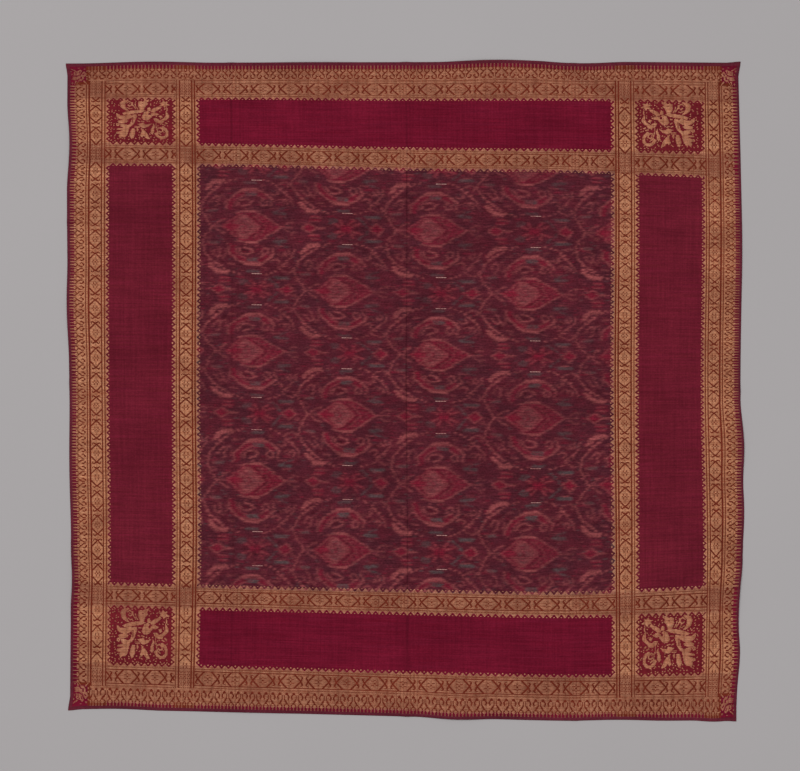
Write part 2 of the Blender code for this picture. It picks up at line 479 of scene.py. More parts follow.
class Brocade:
    """The gold pattern as a chart: True where a gold float lies over the silk."""

    # threads from hexagon to hexagon, and from tooth to tooth
    PERIOD, TOOTH = 40.0, 10.0
    # each mark: half width and path; 0 is a filled outline, and a minus sign cuts back to silk
    CORNER_SPRAY = (
        (0.0, ((11.8, 18.5), (13.5, 15.5), (17, 14), (20.5, 14.5), (18.5, 16.5), (17, 18), (16.8, 21),
               (18, 24.5), (20.5, 27.5), (17.5, 27), (14, 24.5), (12.5, 22))),
        (0.6, ((18.8, 18), (21, 16), (23.5, 17.5), (23.8, 20.5), (21.5, 22), (20, 20.5))),
        (0.5, ((24.5, 17.5), (25, 21.5), (27.5, 25))), (0.5, ((27, 19.5), (27.5, 22.5), (29.5, 25.5))),
        (0.6, ((19.5, 24), (22, 25.5), (24, 25))),
        (0.0, ((30, 17), (33, 15.5), (34.7, 17), (35.5, 15.3), (38.5, 14), (40.8, 15), (38, 17.5),
               (39.5, 19.5), (37.3, 21.5), (36, 25), (34.8, 28), (32.5, 28), (30.8, 24), (29.8, 20.5))),
        (-0.4, ((34.5, 18.5), (34.7, 19.2))),
        (0.0, ((14.5, 31.5), (18.5, 29.5), (24, 28), (33, 27), (37, 28), (33, 30), (28, 31), (20, 32.5),
               (15.5, 33))),
        (0.0, ((8.5, 31.5), (11, 33), (12, 34.5), (16, 34.5), (19.5, 33.5), (22.5, 32.8), (24, 34.5),
               (23.5, 36.5), (21, 38.5), (18, 39.5), (15, 39.5), (12, 38.5), (9.5, 36.5), (8.3, 34))),
        (0.0, ((9.8, 41.8), (13, 40.3), (17, 40), (20.2, 41.3), (18.8, 43), (15, 44), (11, 43.7))),
        (0.6, ((9, 45), (10.5, 44.5), (11.5, 46), (10.3, 47.5), (8.8, 46.8), (9, 45.1))),
        (0.0, ((12, 45), (16, 45.5), (20, 47), (23, 45), (24, 47), (21.5, 49), (20.7, 52), (20, 56),
               (18.7, 60), (16.8, 62.5), (14.2, 62), (12, 64.3), (11.4, 60), (12.5, 58), (9, 57.7),
               (8.3, 56), (13, 54.5), (15.5, 53), (9, 52.3), (10.5, 51), (16, 50.7), (13, 48.2))),
        (0.0, ((24, 33.5), (27.7, 32.5), (28.7, 35.5), (27.5, 39), (26, 44), (23.5, 47.5), (20.5, 49.5),
               (22, 46), (23.6, 41))),
        (-0.35, ((24.6, 36.5), (24.4, 43))),
        (0.0, ((40.3, 28.8), (39, 27), (39.6, 24.5), (41, 23.6), (42.3, 26), (41.8, 28.5))),
        (0.0, ((42.6, 29.5), (44, 26), (47.5, 24), (51, 22.8), (53.3, 23), (51.3, 25.5), (48, 28),
               (45.5, 30.3))),
        (0.0, ((44, 30.6), (47.5, 31), (50.5, 32.5), (47.5, 34.3), (44, 33.6))),
        (0.0, ((35.8, 30.5), (39, 28.6), (43.2, 31.5), (44, 35), (41.5, 38), (38.8, 40.2), (35.5, 39.6),
               (33.8, 37), (34.6, 33.5))),
        (-1.0, ((41.5, 31.5), (41.5, 32.6))),
        (0.0, ((23.8, 51), (26.5, 51.3), (27.2, 54), (26.6, 59), (25, 63.5), (23.3, 64), (22, 60),
               (22.4, 55))),
        (0.0, ((29, 50), (30.3, 52), (29.6, 55), (28.4, 53))),
        (0.0, ((33, 51), (35.2, 52), (36, 56), (35.2, 60), (34, 62.3), (32.3, 60.5), (33.3, 56))),
        (0.0, ((36.3, 53.8), (38.6, 57), (40.5, 61.5), (41.8, 64.2), (38.5, 63.6), (36.3, 61), (35.4, 58))),
        (0.0, ((29.8, 45.3), (35, 43.8), (37, 46.2), (40, 45.8), (43, 44.8), (40.2, 48), (36, 50.2),
               (33, 49.2))),
        (0.35, ((27, 48.1), (32, 48.0))), (0.35, ((27, 49.5), (32, 49.4))),
        (0.0, ((45, 44.8), (46.6, 48), (45.2, 52), (46, 55), (44, 58.2), (42.4, 56), (43, 52),
               (44.3, 48.5))),
        (0.5, ((47.5, 43.5), (47.8, 47.5), (48.2, 50.5))),
        (1.6, ((54.5, 49.5), (57, 51.5), (58.6, 55.5), (58.4, 59.5), (56, 62.3), (52.5, 62.8), (49.5, 60.5),
               (47.8, 57.5))),
        (0.7, ((49.5, 50.5), (51.8, 49.5), (54, 51.8), (54, 54.6), (51.8, 55.6), (50.6, 54))),
        (0.6, ((48.8, 52), (49.5, 56), (52.5, 58.5))),
        (0.0, ((57.4, 29), (58.6, 31), (60.2, 34), (60, 37), (57.5, 40), (54.5, 41.2), (52.5, 40),
               (56, 37.5), (57.4, 34.5))),
        (0.0, ((45.5, 38.5), (48.5, 38.2), (52, 40.8), (55.5, 41.2), (54.5, 43.6), (51, 44.2), (48.3, 42.5),
               (46, 41))),
        (0.0, ((50.5, 35), (53, 34.3), (54, 36.5), (52, 38))),
        (0.0, ((50.3, 18), (53.8, 18.2), (54.6, 14.8), (56.2, 17.3), (59.2, 16.3), (57.8, 19), (61.3, 21),
               (57.6, 21.2), (56, 23.8), (54.5, 21.4), (51.3, 21.8), (53.2, 19.6))),
        (0.5, ((58, 22.5), (58.5, 26), (58.4, 28.5))), (0.6, ((30.5, 33.5), (32.5, 33.5))),
        (0.6, ((30.5, 37.5), (32, 38.5))), (0.6, ((29.5, 41), (31.5, 42))),
        (0.6, ((33.5, 41.5), (36, 42.2))),
        (0.6, ((54, 45.5), (56.5, 46.5))), (0.7, ((57, 43.5), (58.5, 44.5))),
    )
    OUTER_SPRIG = (
        (0.0, ((74.5, 687.5), (77, 688.3), (79.5, 691), (80.2, 693.8), (77.5, 693.2), (75.6, 690.6))),
        (0.0, ((78, 692.6), (81.5, 691.4), (84, 694), (83.6, 697.8), (80, 699), (77.6, 696.6))),
        (0.0, ((82.3, 696.2), (85.4, 697.4), (86.8, 700.2), (85, 703), (82, 702.2), (80.8, 699))),
        (0.0, ((78.4, 699), (81, 700.2), (82.8, 703.8), (80.8, 705.8), (78, 703.8))),
        (0.0, ((72.6, 693.4), (76.4, 692.4), (78, 695), (76.4, 697.6), (73.2, 696.6))),
        (0.0, ((74.4, 698.2), (77.8, 698), (78.2, 701.8), (76.4, 703.8), (74, 701.6))),
        (0.7, ((72.5, 706.5), (75.5, 704.6))), (0.7, ((84.2, 691.5), (86.8, 689.2))),
        (-0.55, ((79.6, 694.2), (81.8, 694.6), (81.6, 696.8))), (-0.45, ((83.4, 699), (84.6, 700.8))),
        (-0.5, ((72.0, 691.6), (77.4, 692.0), (79.2, 694.0))),
        (-0.5, ((80.4, 699.2), (77.8, 698.0), (73.4, 697.6))),
        (-0.5, ((80.6, 698.6), (82.8, 703.6))), (-0.45, ((76.2, 688.6), (78.6, 691.6))),
        (-0.45, ((76.4, 699.6), (76.2, 702.4))), (-0.4, ((79.8, 701.4), (80.6, 704.2))),
        (0.7, ((72.8, 689.2), (73.2, 689.6))), (0.8, ((87, 693.4), (87.5, 693.8))),
        (0.7, ((86.9, 696.8), (87.3, 697))), (0.7, ((72.4, 699.4), (72.6, 700))),
        (0.7, ((84.6, 706.4), (85.4, 706.6))), (0.7, ((87.4, 704), (87.8, 704.4))),
        (0.6, ((79, 707.6), (80, 707.7))), (0.6, ((71.8, 703.2), (72.2, 703.6))),
    )
    # each drawing's point at the middle of its place, and its units to a column and to a row
    SPRAY_MIDDLE, SPRAY_SCALE, SPRAY_TALL = (32.7, 41.4), 0.698, 54.5
    SPRIG_MIDDLE, SPRIG_SCALE = (79.6, 699.0), (0.69, 0.8)
    UPRIGHT_LINES = ((28, (0, 1, 1, 0, 0)), (51, (0, 1, 1, 0)), (154, (1, 0, 1, 1, 1, 0, 0)),
                     (179, (0, 0, 1, 1, 0, 0)))
    # rows, and the repeats done by each: the beat was uneven, and not alike on the two sides
    LEFT_BEAT = ((157, 228, 304, 455, 531, 606, 682, 757, 833, 898),
                 (-16.78, -15.05, -13.2, -9.46, -7.54, -5.81, -3.9, -1.97, 0.02, 1.68))
    RIGHT_BEAT = ((157, 173, 194, 243, 286, 333, 373, 415, 478, 588, 695, 771, 885, 898),
                  (-17.86, -17.5, -17.0, -16.0, -15.0, -14.0, -13.0, -12.0, -10.5, -7.5, -4.5, -2.5, 0.5,
                   0.85))
    # the leaf band's own depths at rows in from the hem: beaten flatter along the bottom side
    LOW_DEPTHS = ((0.0, 3.2, 4.7, 8.9, 13.4, 19.5, 23.0), (0.0, 4.0, 5.5, 10.0, 14.5, 21.0, 23.0))
    DEEP_DEPTHS = ((0.0, 5.6, 7.5, 11.8, 15.0, 19.4, 23.0), (0.0, 4.0, 5.5, 10.0, 13.5, 20.5, 23.0))
    # 0 is bare, 1 gold and 2 gold in every other cell, which reads as a fainter line
    LEVEL_LINES = ((27, (2, 1, 1, 0)), (49, (0, 1, 1, 2)), (144, (2, 1, 1, 0)), (166, (0, 1, 1, 2)),
                   (885, (2, 1, 1, 2)), (907, (0, 1, 1, 2)), (997, (2, 1, 1, 2)), (1019, (2, 1, 1, 2)))
    LEVEL_MAINS = ((31, 49), (148, 166), (889, 907), (1001, 1019))
    UPRIGHT_MAINS = ((33, 51), (161, 179), (789, 807), (917, 935))
    COLUMN_SPANS = ((55, 154), (185, 783), (814, 913))
    ROW_SPANS = ((53, 144), (170, 885), (911, 997))
    LEAF_DEPTH = 23
    LEAF_COLUMNS = (5, 28)
    LEAF_ROWS = ((4, 27), (1023, 1046))
    SPRIG_COLUMNS = (5, 31)
    SPRIG_ROWS = ((4, 31), (1019, 1046))
    # columns in from the side: the middle of the inner crossing, and of a hexagon in the corners
    INNER_CROSSING = 170.0
    CORNER_COLUMN = 126.0
    # rows of a hexagon's middle in the lower and the upper corners
    CORNER_ROWS = (56.5, 966.0)

    def __init__(self, loom: Loom) -> None:
        """Chart every band, crossing, corner and spray of the loom's cloth.

        Args:
            loom: the loom that the chart is for.
        """
        self.loom = loom
        self.gold = np.zeros(loom.shape, dtype=bool)
        self.sprays = np.zeros(loom.shape, dtype=bool)
        self.chart_level_bands()
        self.chart_upright_bands()
        self.chart_crossings()
        self.chart_corners()

    def hexagons(self, a: Array, b: Array) -> Array:
        """Main band: long hexagons and hooked lozenges in turn, gold with dark outlines.

        A hexagon's outline is |a| + |b| = 15, open at the band's sides. A lozenge fills the gap
        between two of them, with a hook at each arm, and each hexagon holds an open eye.

        Args:
            a: threads along the band from a hexagon's middle.
            b: threads across it from the band's middle.

        Returns:
            True where a gold float lies.
        """
        a = np.abs(wrapped(a, self.PERIOD))
        b = np.abs(b)
        dark = (np.abs(a + b - 15.0) < 1.4) & (b <= 8.5)
        across = np.abs(a - 20.0)
        dark |= (np.abs(across - (5.3 - 0.55 * b)) < 1.2) & (b <= 5.2)
        dark |= stroke_distance(across, b, ((2.7, 5.0), (3.4, 6.8), (5.4, 6.6))) < 0.6
        dark |= stroke_distance(a, b, ((1.6, 2.6), (3.9, 2.6))) < 0.75
        dark |= (a < 0.9) & (np.abs(b - 4.4) < 0.75)
        dark |= (a < 0.6) & (b < 0.6)
        return ~dark

    def teeth(self, a: Array, h: Array) -> Array:
        """A solid base line, a row of triangles 10 apart and a speck in each trough.

        Args:
            a: threads along the row from a tooth's point.
            h: threads up from the base line.

        Returns:
            True where a gold float lies.
        """
        from_point = np.abs(wrapped(a, self.TOOTH))
        speck = (from_point > 3.9) & (h > 3.6) & (h < 5.6)
        return (h < 1.0) | (from_point < 5.6 - h) & (h < 5.8) | speck

    def leaves(self, a: Array, d: Array) -> Array:
        """Outer band: a comb of bars, every other one with a drop, and domes over curls.

        Args:
            a: threads along the band from a dome's axis, 20 from dome to dome.
            d: depth in from the hem, 0 to 23 whatever the band's real depth.

        Returns:
            True where a gold float lies.
        """
        side = np.abs(wrapped(a, 20.0))
        off_drop = np.abs(side - 5.0)
        bars = np.abs(wrapped(a, 5.0)) < 0.75
        drop = np.hypot(off_drop / 2.6, (d - 5.6) / 2.3) < 1.0
        gap = off_drop < 4.2 - 1.15 * np.maximum(d - 6.6, 0.0)
        dark = gap & ~drop & (d > 4.0)
        dark |= stroke_distance(side, d, ((5.6, 10.2), (8.4, 14.2), (8.5, 18.5))) < 0.9
        dark |= stroke_distance(side, d, ((2.9, 14.4), (1.9, 16.8), (3.0, 19.0), (4.6, 20.4))) < 0.9
        dark |= np.hypot((side - 5.0) / 1.8, (d - 20.6) / 1.3) < 1.0
        return np.where(d < 4.0, bars, ~dark)

    def speckle(self, a: Array, b: Array) -> Array:
        """Crossing square: gold with short dark strokes set evenly about its middle.

        Args:
            a: threads along the weft from the square's middle.
            b: threads along the warp from it.

        Returns:
            True where a gold float lies.
        """
        a, b = np.abs(a), np.abs(b)
        strokes = (np.abs(wrapped(a - 1.5, 3.0)) < 0.5) & (np.abs(wrapped(b, 5.0)) < 0.9)
        knots = (np.abs(wrapped(a, 6.0)) < 0.6) & (np.abs(wrapped(b - 2.5, 5.0)) < 0.6)
        return ~(strokes | knots)

    def chart_level_bands(self) -> None:
        """Chart the bands that run along the weft: leaves, mains, lines and teeth."""
        gold = self.gold
        width = gold.shape[1]
        columns = np.arange(width) + 0.5
        middle = width / 2.0
        off = np.abs(columns - middle)
        phase = np.where(off < middle - self.INNER_CROSSING, columns - middle,
                         off - (middle - self.CORNER_COLUMN))[None, :]
        combs = slice(self.SPRIG_COLUMNS[1], width - self.SPRIG_COLUMNS[1])
        threads = np.arange(self.LEAF_DEPTH) + 0.5
        tables = (self.LOW_DEPTHS, 1), (self.DEEP_DEPTHS, -1)
        for (low, high), (depths, turn) in zip(self.LEAF_ROWS, tables):
            leaves = self.leaves(phase, np.interp(threads, *depths)[:, None])
            gold[low:high, combs] = leaves[::turn, combs]
        for start, end in self.COLUMN_SPANS:
            span = slice(start, end)
            for low, high in self.LEVEL_MAINS:
                b = (np.arange(low, high) + 0.5 - (low + high) / 2.0)[:, None]
                gold[low:high, span] = self.hexagons(phase[:, span], b)
            # a row of teeth is 6 threads high, and all but the lowest row are cut 1 short
            upward = self.teeth(phase[:, span] - self.TOOTH / 2.0, np.arange(6)[:, None] + 0.5)
            for base, crest in self.ROW_SPANS:
                room = 6 if base == self.ROW_SPANS[0][0] else 5
                gold[base:base + room, span] = upward[:room]
                gold[crest - 5:crest, span] = upward[:5][::-1]
        whole = ((self.UPRIGHT_MAINS[0][0], self.UPRIGHT_MAINS[-1][1]),)
        outermost = (self.LEVEL_LINES[0][0], self.LEVEL_LINES[-1][0])
        for low, pattern in self.LEVEL_LINES:
            line = np.array(pattern)[:, None]
            for start, end in whole if low in outermost else self.COLUMN_SPANS:
                every_other = np.arange(start, end)[None, :] % 2 > 0
                gold[low:low + 4, start:end] = (line == 1) | (line == 2) & every_other

    def upright_phase(self, right: bool) -> Array:
        """Threads from a hexagon's middle for every row of an upright band.

        Between the corners this follows the beat tables, and in the corners 40 rows are a repeat.

        Args:
            right: whether the band is on the right side.

        Returns:
            One phase for each row.
        """
        rows = np.arange(self.gold.shape[0]) + 0.5
        beat = self.RIGHT_BEAT if right else self.LEFT_BEAT
        phase = self.PERIOD * np.interp(rows, *beat)
        phase = np.where(rows < beat[0][0], rows - self.CORNER_ROWS[0], phase)
        return np.where(rows > beat[0][-1], rows - self.CORNER_ROWS[1], phase)

    def chart_upright_bands(self) -> None:
        """Chart the bands that run along the warp, each side the mirror of the other."""
        rows = slice(self.SPRIG_ROWS[0][1], self.SPRIG_ROWS[1][0])
        between = slice(self.LEAF_ROWS[0][1], self.LEAF_ROWS[1][0])
        depth = np.interp(np.arange(self.LEAF_DEPTH) + 0.5, *self.DEEP_DEPTHS)[None, :]
        step = np.arange(6)[None, :] + 0.5
        (outer, panel), (inner, _), _ = self.COLUMN_SPANS
        # a side's columns are counted from its own edge, so the right one is charted turned round
        for side, right in ((self.gold, False), (self.gold[:, ::-1], True)):
            phase = self.upright_phase(right)[:, None]
            for start, end in self.ROW_SPANS:
                span = slice(start, end)
                for low, high in self.UPRIGHT_MAINS[:2]:
                    b = (np.arange(low, high) + 0.5 - (low + high) / 2.0)[None, :]
                    side[span, low:high] = self.hexagons(phase[span], b)
                teeth = self.teeth(phase[span], step)
                side[span, outer:outer + 6] |= teeth
                side[span, panel - 5:panel] |= teeth[:, 1:][:, ::-1]
                side[span, inner:inner + 6] |= teeth
            side[rows, slice(*self.LEAF_COLUMNS)] = self.leaves(phase[rows], depth)
            for start, pattern in self.UPRIGHT_LINES:
                side[between, start:start + len(pattern)] = np.array(pattern, dtype=bool)[None, :]

    def chart_crossings(self) -> None:
        """Fill the squares where two main bands meet, and dot the level lines there."""
        for low, high in self.LEVEL_MAINS:
            b = (np.arange(low, high) + 0.5 - (low + high) / 2.0)[:, None]
            for left, right in self.UPRIGHT_MAINS:
                a = (np.arange(left, right) + 0.5 - (left + right) / 2.0)[None, :]
                self.gold[low:high, left:right] = self.speckle(a, b)
                dots = np.arange(left, right) % 3 > 0
                for row in (low - 4, low - 1, high, high + 3):
                    self.gold[row, left:right] = dots
                for row in (low - 3, low - 2, high + 1, high + 2):
                    self.gold[row, left:right] = True

    def stamp(self, target: Array, strokes: tuple, box: tuple, centre: Point, scale: Point,
              flip: tuple[bool, bool]) -> None:
        """Draw a spray's strokes into a rectangle of a chart.

        Args:
            target: the chart to draw in.
            strokes: half width and path of each mark, in the drawing's own units, y down; a half
                width of 0 fills the outline, and one below 0 cuts its mark back to silk.
            box: first and last row, first and last column of the rectangle.
            centre: the drawing's point at the rectangle's middle.
            scale: the drawing's units to a column and to a row.
            flip: whether it is turned left for right, and top for bottom.
        """
        low, high, left, right = box
        across = (np.arange(left, right) + 0.5 - (left + right) / 2.0) * scale[0]
        down = ((low + high) / 2.0 - np.arange(low, high) - 0.5) * scale[1]
        x = centre[0] + (-across if flip[0] else across)[None, :]
        y = centre[1] + (-down if flip[1] else down)[:, None]
        area = target[low:high, left:right]
        for half_width, path in strokes:
            if half_width > 0.0:
                area |= stroke_distance(x, y, path) < half_width
            elif half_width < 0.0:
                area &= stroke_distance(x, y, path) >= -half_width
            else:
                area |= inside(x, y, path) | (stroke_distance(x, y, path) < 0.32)

    def strew_specks(self, box: tuple) -> None:
        """Strew small gold specks over a corner panel, two threads clear of its spray and teeth.

        Args:
            box: first and last row, first and last column of the panel.
        """
        low, high, left, right = box
        taken = self.sprays | self.gold
        for axis in (0, 1):
            taken = taken | np.roll(taken, 1, axis) | np.roll(taken, -1, axis)
        rows, columns = np.meshgrid(np.arange(low + 1, high - 2, 4), np.arange(left + 1, right - 3, 5))
        chance = np.random.default_rng(low + left)
        row = rows.ravel() + chance.integers(-1, 2, rows.size)
        column = columns.ravel() + chance.integers(-1, 2, rows.size)
        clear = ~taken[row, column] & ~taken[row, column + 1] & (chance.random(rows.size) < 0.85)
        row, column = row[clear], column[clear]
        self.sprays[row, column] = True
        self.sprays[row, column + 1] = True
        self.sprays[row + 1, column + chance.integers(0, 2, row.size)] = True

    def chart_corners(self) -> None:
        """Draw a spray in each corner panel and a sprig in each outer corner."""
        width = self.gold.shape[1]
        for flipped in (False, True):
            left, right = self.loom.PANEL_COLUMNS
            columns = (width - right, width - left) if flipped else (left, right)
            for rows in self.loom.PANEL_ROWS:
                scale = (self.SPRAY_SCALE, self.SPRAY_TALL / (rows[1] - rows[0]))
                box = (*rows, *columns)
                self.stamp(self.sprays, self.CORNER_SPRAY, box, self.SPRAY_MIDDLE, scale,
                           (flipped, False))
                self.strew_specks(box)
            left, right = self.SPRIG_COLUMNS
            columns = (width - right, width - left) if flipped else (left, right)
            for rows in self.SPRIG_ROWS:
                self.gold[slice(*rows), slice(*columns)] = False
                self.stamp(self.gold, self.OUTER_SPRIG, (*rows, *columns), self.SPRIG_MIDDLE,
                           self.SPRIG_SCALE, (flipped, rows != self.SPRIG_ROWS[0]))


class Dye(Enum):
    """The dyes of the tied weft, each a channel of the dyed field's attribute."""

    PALE = 0
    RED = 1
    TEAL = 2
    DARK = 3


class Stroke(NamedTuple):
    """One mark of the dyed repeat: a line of some width, or a filled outline where width is 0.

    Marks are the same above and below their motif's middle, so y is drawn upwards only.
    """

    dye: Dye
    width: float
    strength: float
    path: tuple[Point, ...]


@dataclass(frozen=True)
class DyedRepeat:
    """The half-drop repeat of the dyed middle: a palmette between arches, and a rosette.

    Its units are 1.31 mm along the weft. Palmettes stand at the even crossings of a lattice of
    half_width by half_height and rosettes at the odd ones.
    """

    half_width: float = 94.5
    half_height: float = 62.0
    fineness: int = 2
    bleed: int = 5
    weight: float = 0.95
    scattered: int = 640
    seed: int = 5

    # the ground's flecks, one layer after another: dye and strength; then their cells
    FLECKS = ((Dye.PALE, 0.42), (Dye.RED, 0.7), (Dye.TEAL, 0.55), (Dye.PALE, 0.3))
    FLECK_CELLS = (3, 10)
    # uptake of dye: its mean, how far chance carries it, and how many cells share it
    UPTAKE, UPTAKE_CHANCE, UPTAKE_RUN = 0.82, 2.4, 6
    # how far beside its crossing a palmette's own middle is drawn
    PALMETTE_SHIFT = -7.0
    PALMETTE = (
        Stroke(Dye.RED, 0.0, 0.7, ((-28, 0), (-11, 13), (-2, 15), (8, 14), (20, 8), (33, 0))),
        Stroke(Dye.PALE, 0.0, 0.36, ((-19, 0), (-9, 12), (-3, 11.5), (11, 0))),
        Stroke(Dye.PALE, 0.0, 0.3, ((-14, 0), (-7, 9.8), (-2, 9.8), (9, 0))),
        Stroke(Dye.TEAL, 0.0, 0.36, ((-13, 0), (-7, 9.5), (-2, 9.5), (8, 0))),
        Stroke(Dye.PALE, 1.5, 0.6, ((-13, 3), (-7.5, 8.6), (-2, 7), (6, 0.6))),
        Stroke(Dye.RED, 2.2, 0.6, ((-10.5, 0.5), (-7, 4.2), (-2.5, 0.5))),
        Stroke(Dye.DARK, 3.0, 0.55, ((3, 11), (9, 6.5), (14, 1.5))),
        Stroke(Dye.RED, 5.2, 0.95, ((-24, 0), (-13, 0))),
        Stroke(Dye.DARK, 1.6, 0.5, ((-9, 1.8), (-5.5, 4.6), (-2, 1.6))),
        Stroke(Dye.TEAL, 1.8, 0.55, ((-7.5, 7), (-3, 7.4))),
        Stroke(Dye.PALE, 1.4, 0.5, ((-9, 3.2), (-2, 3.6))),
        Stroke(Dye.RED, 1.6, 0.5, ((-8, 6.4), (-3, 6.4))),
        Stroke(Dye.PALE, 1.4, 0.55, ((-9, 9), (-4, 9.2))),
        Stroke(Dye.RED, 1.5, 0.5, ((-1, 4), (3, 2.5))),
        Stroke(Dye.PALE, 1.4, 0.6, ((-24, 1.5), (-10, 11.8), (-4, 11.4), (4, 6.5), (11.5, 0.3))),
        Stroke(Dye.PALE, 1.3, 0.5, ((3.5, 11.5), (10, 7), (18, 0.5))),
        Stroke(Dye.PALE, 1.4, 0.5, ((8, 11), (9.5, 10.6))),
        Stroke(Dye.PALE, 1.4, 0.5, ((13, 8), (14.5, 7.6))),
        Stroke(Dye.PALE, 1.4, 0.45, ((18.5, 4.6), (20, 4.2))),
        Stroke(Dye.PALE, 1.4, 0.4, ((23, 1.8), (24.5, 1.6))),
        Stroke(Dye.PALE, 1.7, 0.72, ((-12, 13.6), (-6, 15.2), (6, 15.2), (12, 13), (20, 8), (34, 0))),
        Stroke(Dye.PALE, 2.3, 0.9, ((-3, 15.4), (7, 15.4))),
        Stroke(Dye.PALE, 1.5, 0.65, ((-38, 0), (-25, 0))),
        Stroke(Dye.PALE, 1.9, 0.6, ((-33, 2.5), (-29, 5.5), (-24, 7))),
        Stroke(Dye.PALE, 1.4, 0.6, ((34, 0), (46, 0))),
        Stroke(Dye.PALE, 1.7, 0.5, ((38, 2.5), (43, 5.5), (47, 4.5))),
        Stroke(Dye.RED, 5.4, 0.75, ((-19.5, 19), (-17.5, 25), (-10, 30.5), (-2, 34), (9, 34.5), (18, 30))),
        Stroke(Dye.PALE, 3.4, 0.5, ((-8, 35), (0, 36), (11, 36))),
        Stroke(Dye.PALE, 1.8, 0.78, ((-23, 17), (-21.5, 25), (-12, 33), (-4, 37.3), (9, 37.8), (20, 32.5),
                                     (25.5, 27), (22.5, 21))),
        Stroke(Dye.PALE, 2.2, 0.9, ((-5, 37), (9, 38))),
        Stroke(Dye.PALE, 2.6, 0.5, ((18, 32), (24.5, 27))),
        Stroke(Dye.PALE, 1.4, 0.55, ((-15.5, 20), (-12, 27.5), (-4, 31.4), (8, 31.8), (16, 27.5))),
        Stroke(Dye.DARK, 3.0, 0.55, ((-9, 24), (-4, 24.5))),
        Stroke(Dye.PALE, 1.7, 0.85, ((-12, 21), (-8.5, 26.5), (-2, 27.6), (4, 25), (0, 22), (-7, 20.4))),
        Stroke(Dye.PALE, 1.6, 0.75, ((12, 24), (15, 28), (19.5, 25.5), (18, 21.5), (13.5, 21), (12, 24))),
        Stroke(Dye.TEAL, 4.2, 0.95, ((-1, 32.6), (8, 32.8))),
        Stroke(Dye.PALE, 1.6, 0.5, ((-4.5, 18), (-3.5, 18.2))),
        Stroke(Dye.PALE, 1.6, 0.5, ((3, 18.6), (4, 18.8))),
        Stroke(Dye.PALE, 1.5, 0.4, ((9, 18.4), (10, 18.6))),
        Stroke(Dye.RED, 1.8, 0.5, ((7, 22), (11, 22.2))),
        Stroke(Dye.TEAL, 3.0, 0.7, ((-2, 44), (9, 44.2))),
        *(Stroke(Dye.PALE, 1.7, 1.0, ((x, y), (x + 1.2, y + 0.2))) for x, y in (
            (-12, 47), (-17, 45.4), (-22, 43.6), (-27, 41.6), (-31.5, 39.2), (-36, 36.4), (-40, 33),
            (-43.5, 28.6), (16.5, 47), (21.5, 45.6), (26, 43.8), (30.5, 41.4), (34.6, 38.6), (38.4, 35.2))),
        Stroke(Dye.PALE, 1.6, 0.75, ((23.5, 33.5), (28, 31.5), (32, 33.4), (30, 36.4))),
        Stroke(Dye.PALE, 1.5, 0.7, ((35.5, 26), (39, 28.4), (42, 25.6), (39.5, 22.6))),
        Stroke(Dye.PALE, 1.6, 0.7, ((-36.5, 27), (-32.5, 30.4), (-29, 27.8), (-31, 25))),
        Stroke(Dye.PALE, 1.5, 0.65, ((-34, 20), (-30, 22.4), (-31.5, 24.4))),
        Stroke(Dye.DARK, 2.4, 0.6, ((-30, 33.4), (-26, 34.6))),
        Stroke(Dye.DARK, 2.4, 0.6, ((29, 28), (33, 29))),
        Stroke(Dye.PALE, 1.4, 0.85, ((-37, 0.5), (-42, 6), (-47, 14), (-48.5, 19), (-45, 26), (-40, 31.5),
                                     (-33, 36.5), (-28, 40))),
        Stroke(Dye.PALE, 1.4, 0.85, ((46, 22), (45, 28), (38, 34.5), (31, 39.5))),
        Stroke(Dye.PALE, 3.4, 0.4, ((-42, 16), (-34, 16.5))),
        Stroke(Dye.TEAL, 2.8, 0.6, ((-40, 16), (-32, 16))),
        Stroke(Dye.TEAL, 3.2, 0.7, ((26, 14.5), (38, 13.5))),
        Stroke(Dye.TEAL, 1.6, 0.6, ((28, 13.5), (31, 18), (38, 19.5))),
        Stroke(Dye.PALE, 1.4, 0.4, ((22, 18.5), (31, 19))),
        Stroke(Dye.PALE, 1.4, 0.35, ((30, 10.5), (37, 10.8))),
        Stroke(Dye.PALE, 1.4, 0.45, ((-29, 29), (-26, 32), (-23.5, 27), (-25, 22))),
        Stroke(Dye.PALE, 2.2, 0.45, ((-38.5, 24.5), (-36, 24.8))),
        Stroke(Dye.PALE, 2.0, 0.45, ((-22, 36.6), (-16, 37.4))),
        Stroke(Dye.PALE, 1.5, 0.45, ((30, 26.5), (34, 29), (38, 27), (36.5, 24))),
        Stroke(Dye.PALE, 1.5, 0.4, ((14, 40.5), (19, 41))),
        Stroke(Dye.RED, 1.8, 0.55, ((29, 22.5), (35, 22.8))),
        Stroke(Dye.PALE, 1.7, 0.5, ((33, 43), (40, 45.5), (45, 43), (42, 40))),
        Stroke(Dye.TEAL, 2.8, 0.55, ((26, 49.5), (38, 50.5))),
        Stroke(Dye.PALE, 1.7, 0.55, ((29, 51.5), (38, 52.4))),
        Stroke(Dye.PALE, 1.3, 0.4, ((-36, 46), (-31, 47.5), (-27, 46))),
        Stroke(Dye.RED, 2.2, 0.5, ((-44, 38), (-36, 38.5))),
    )
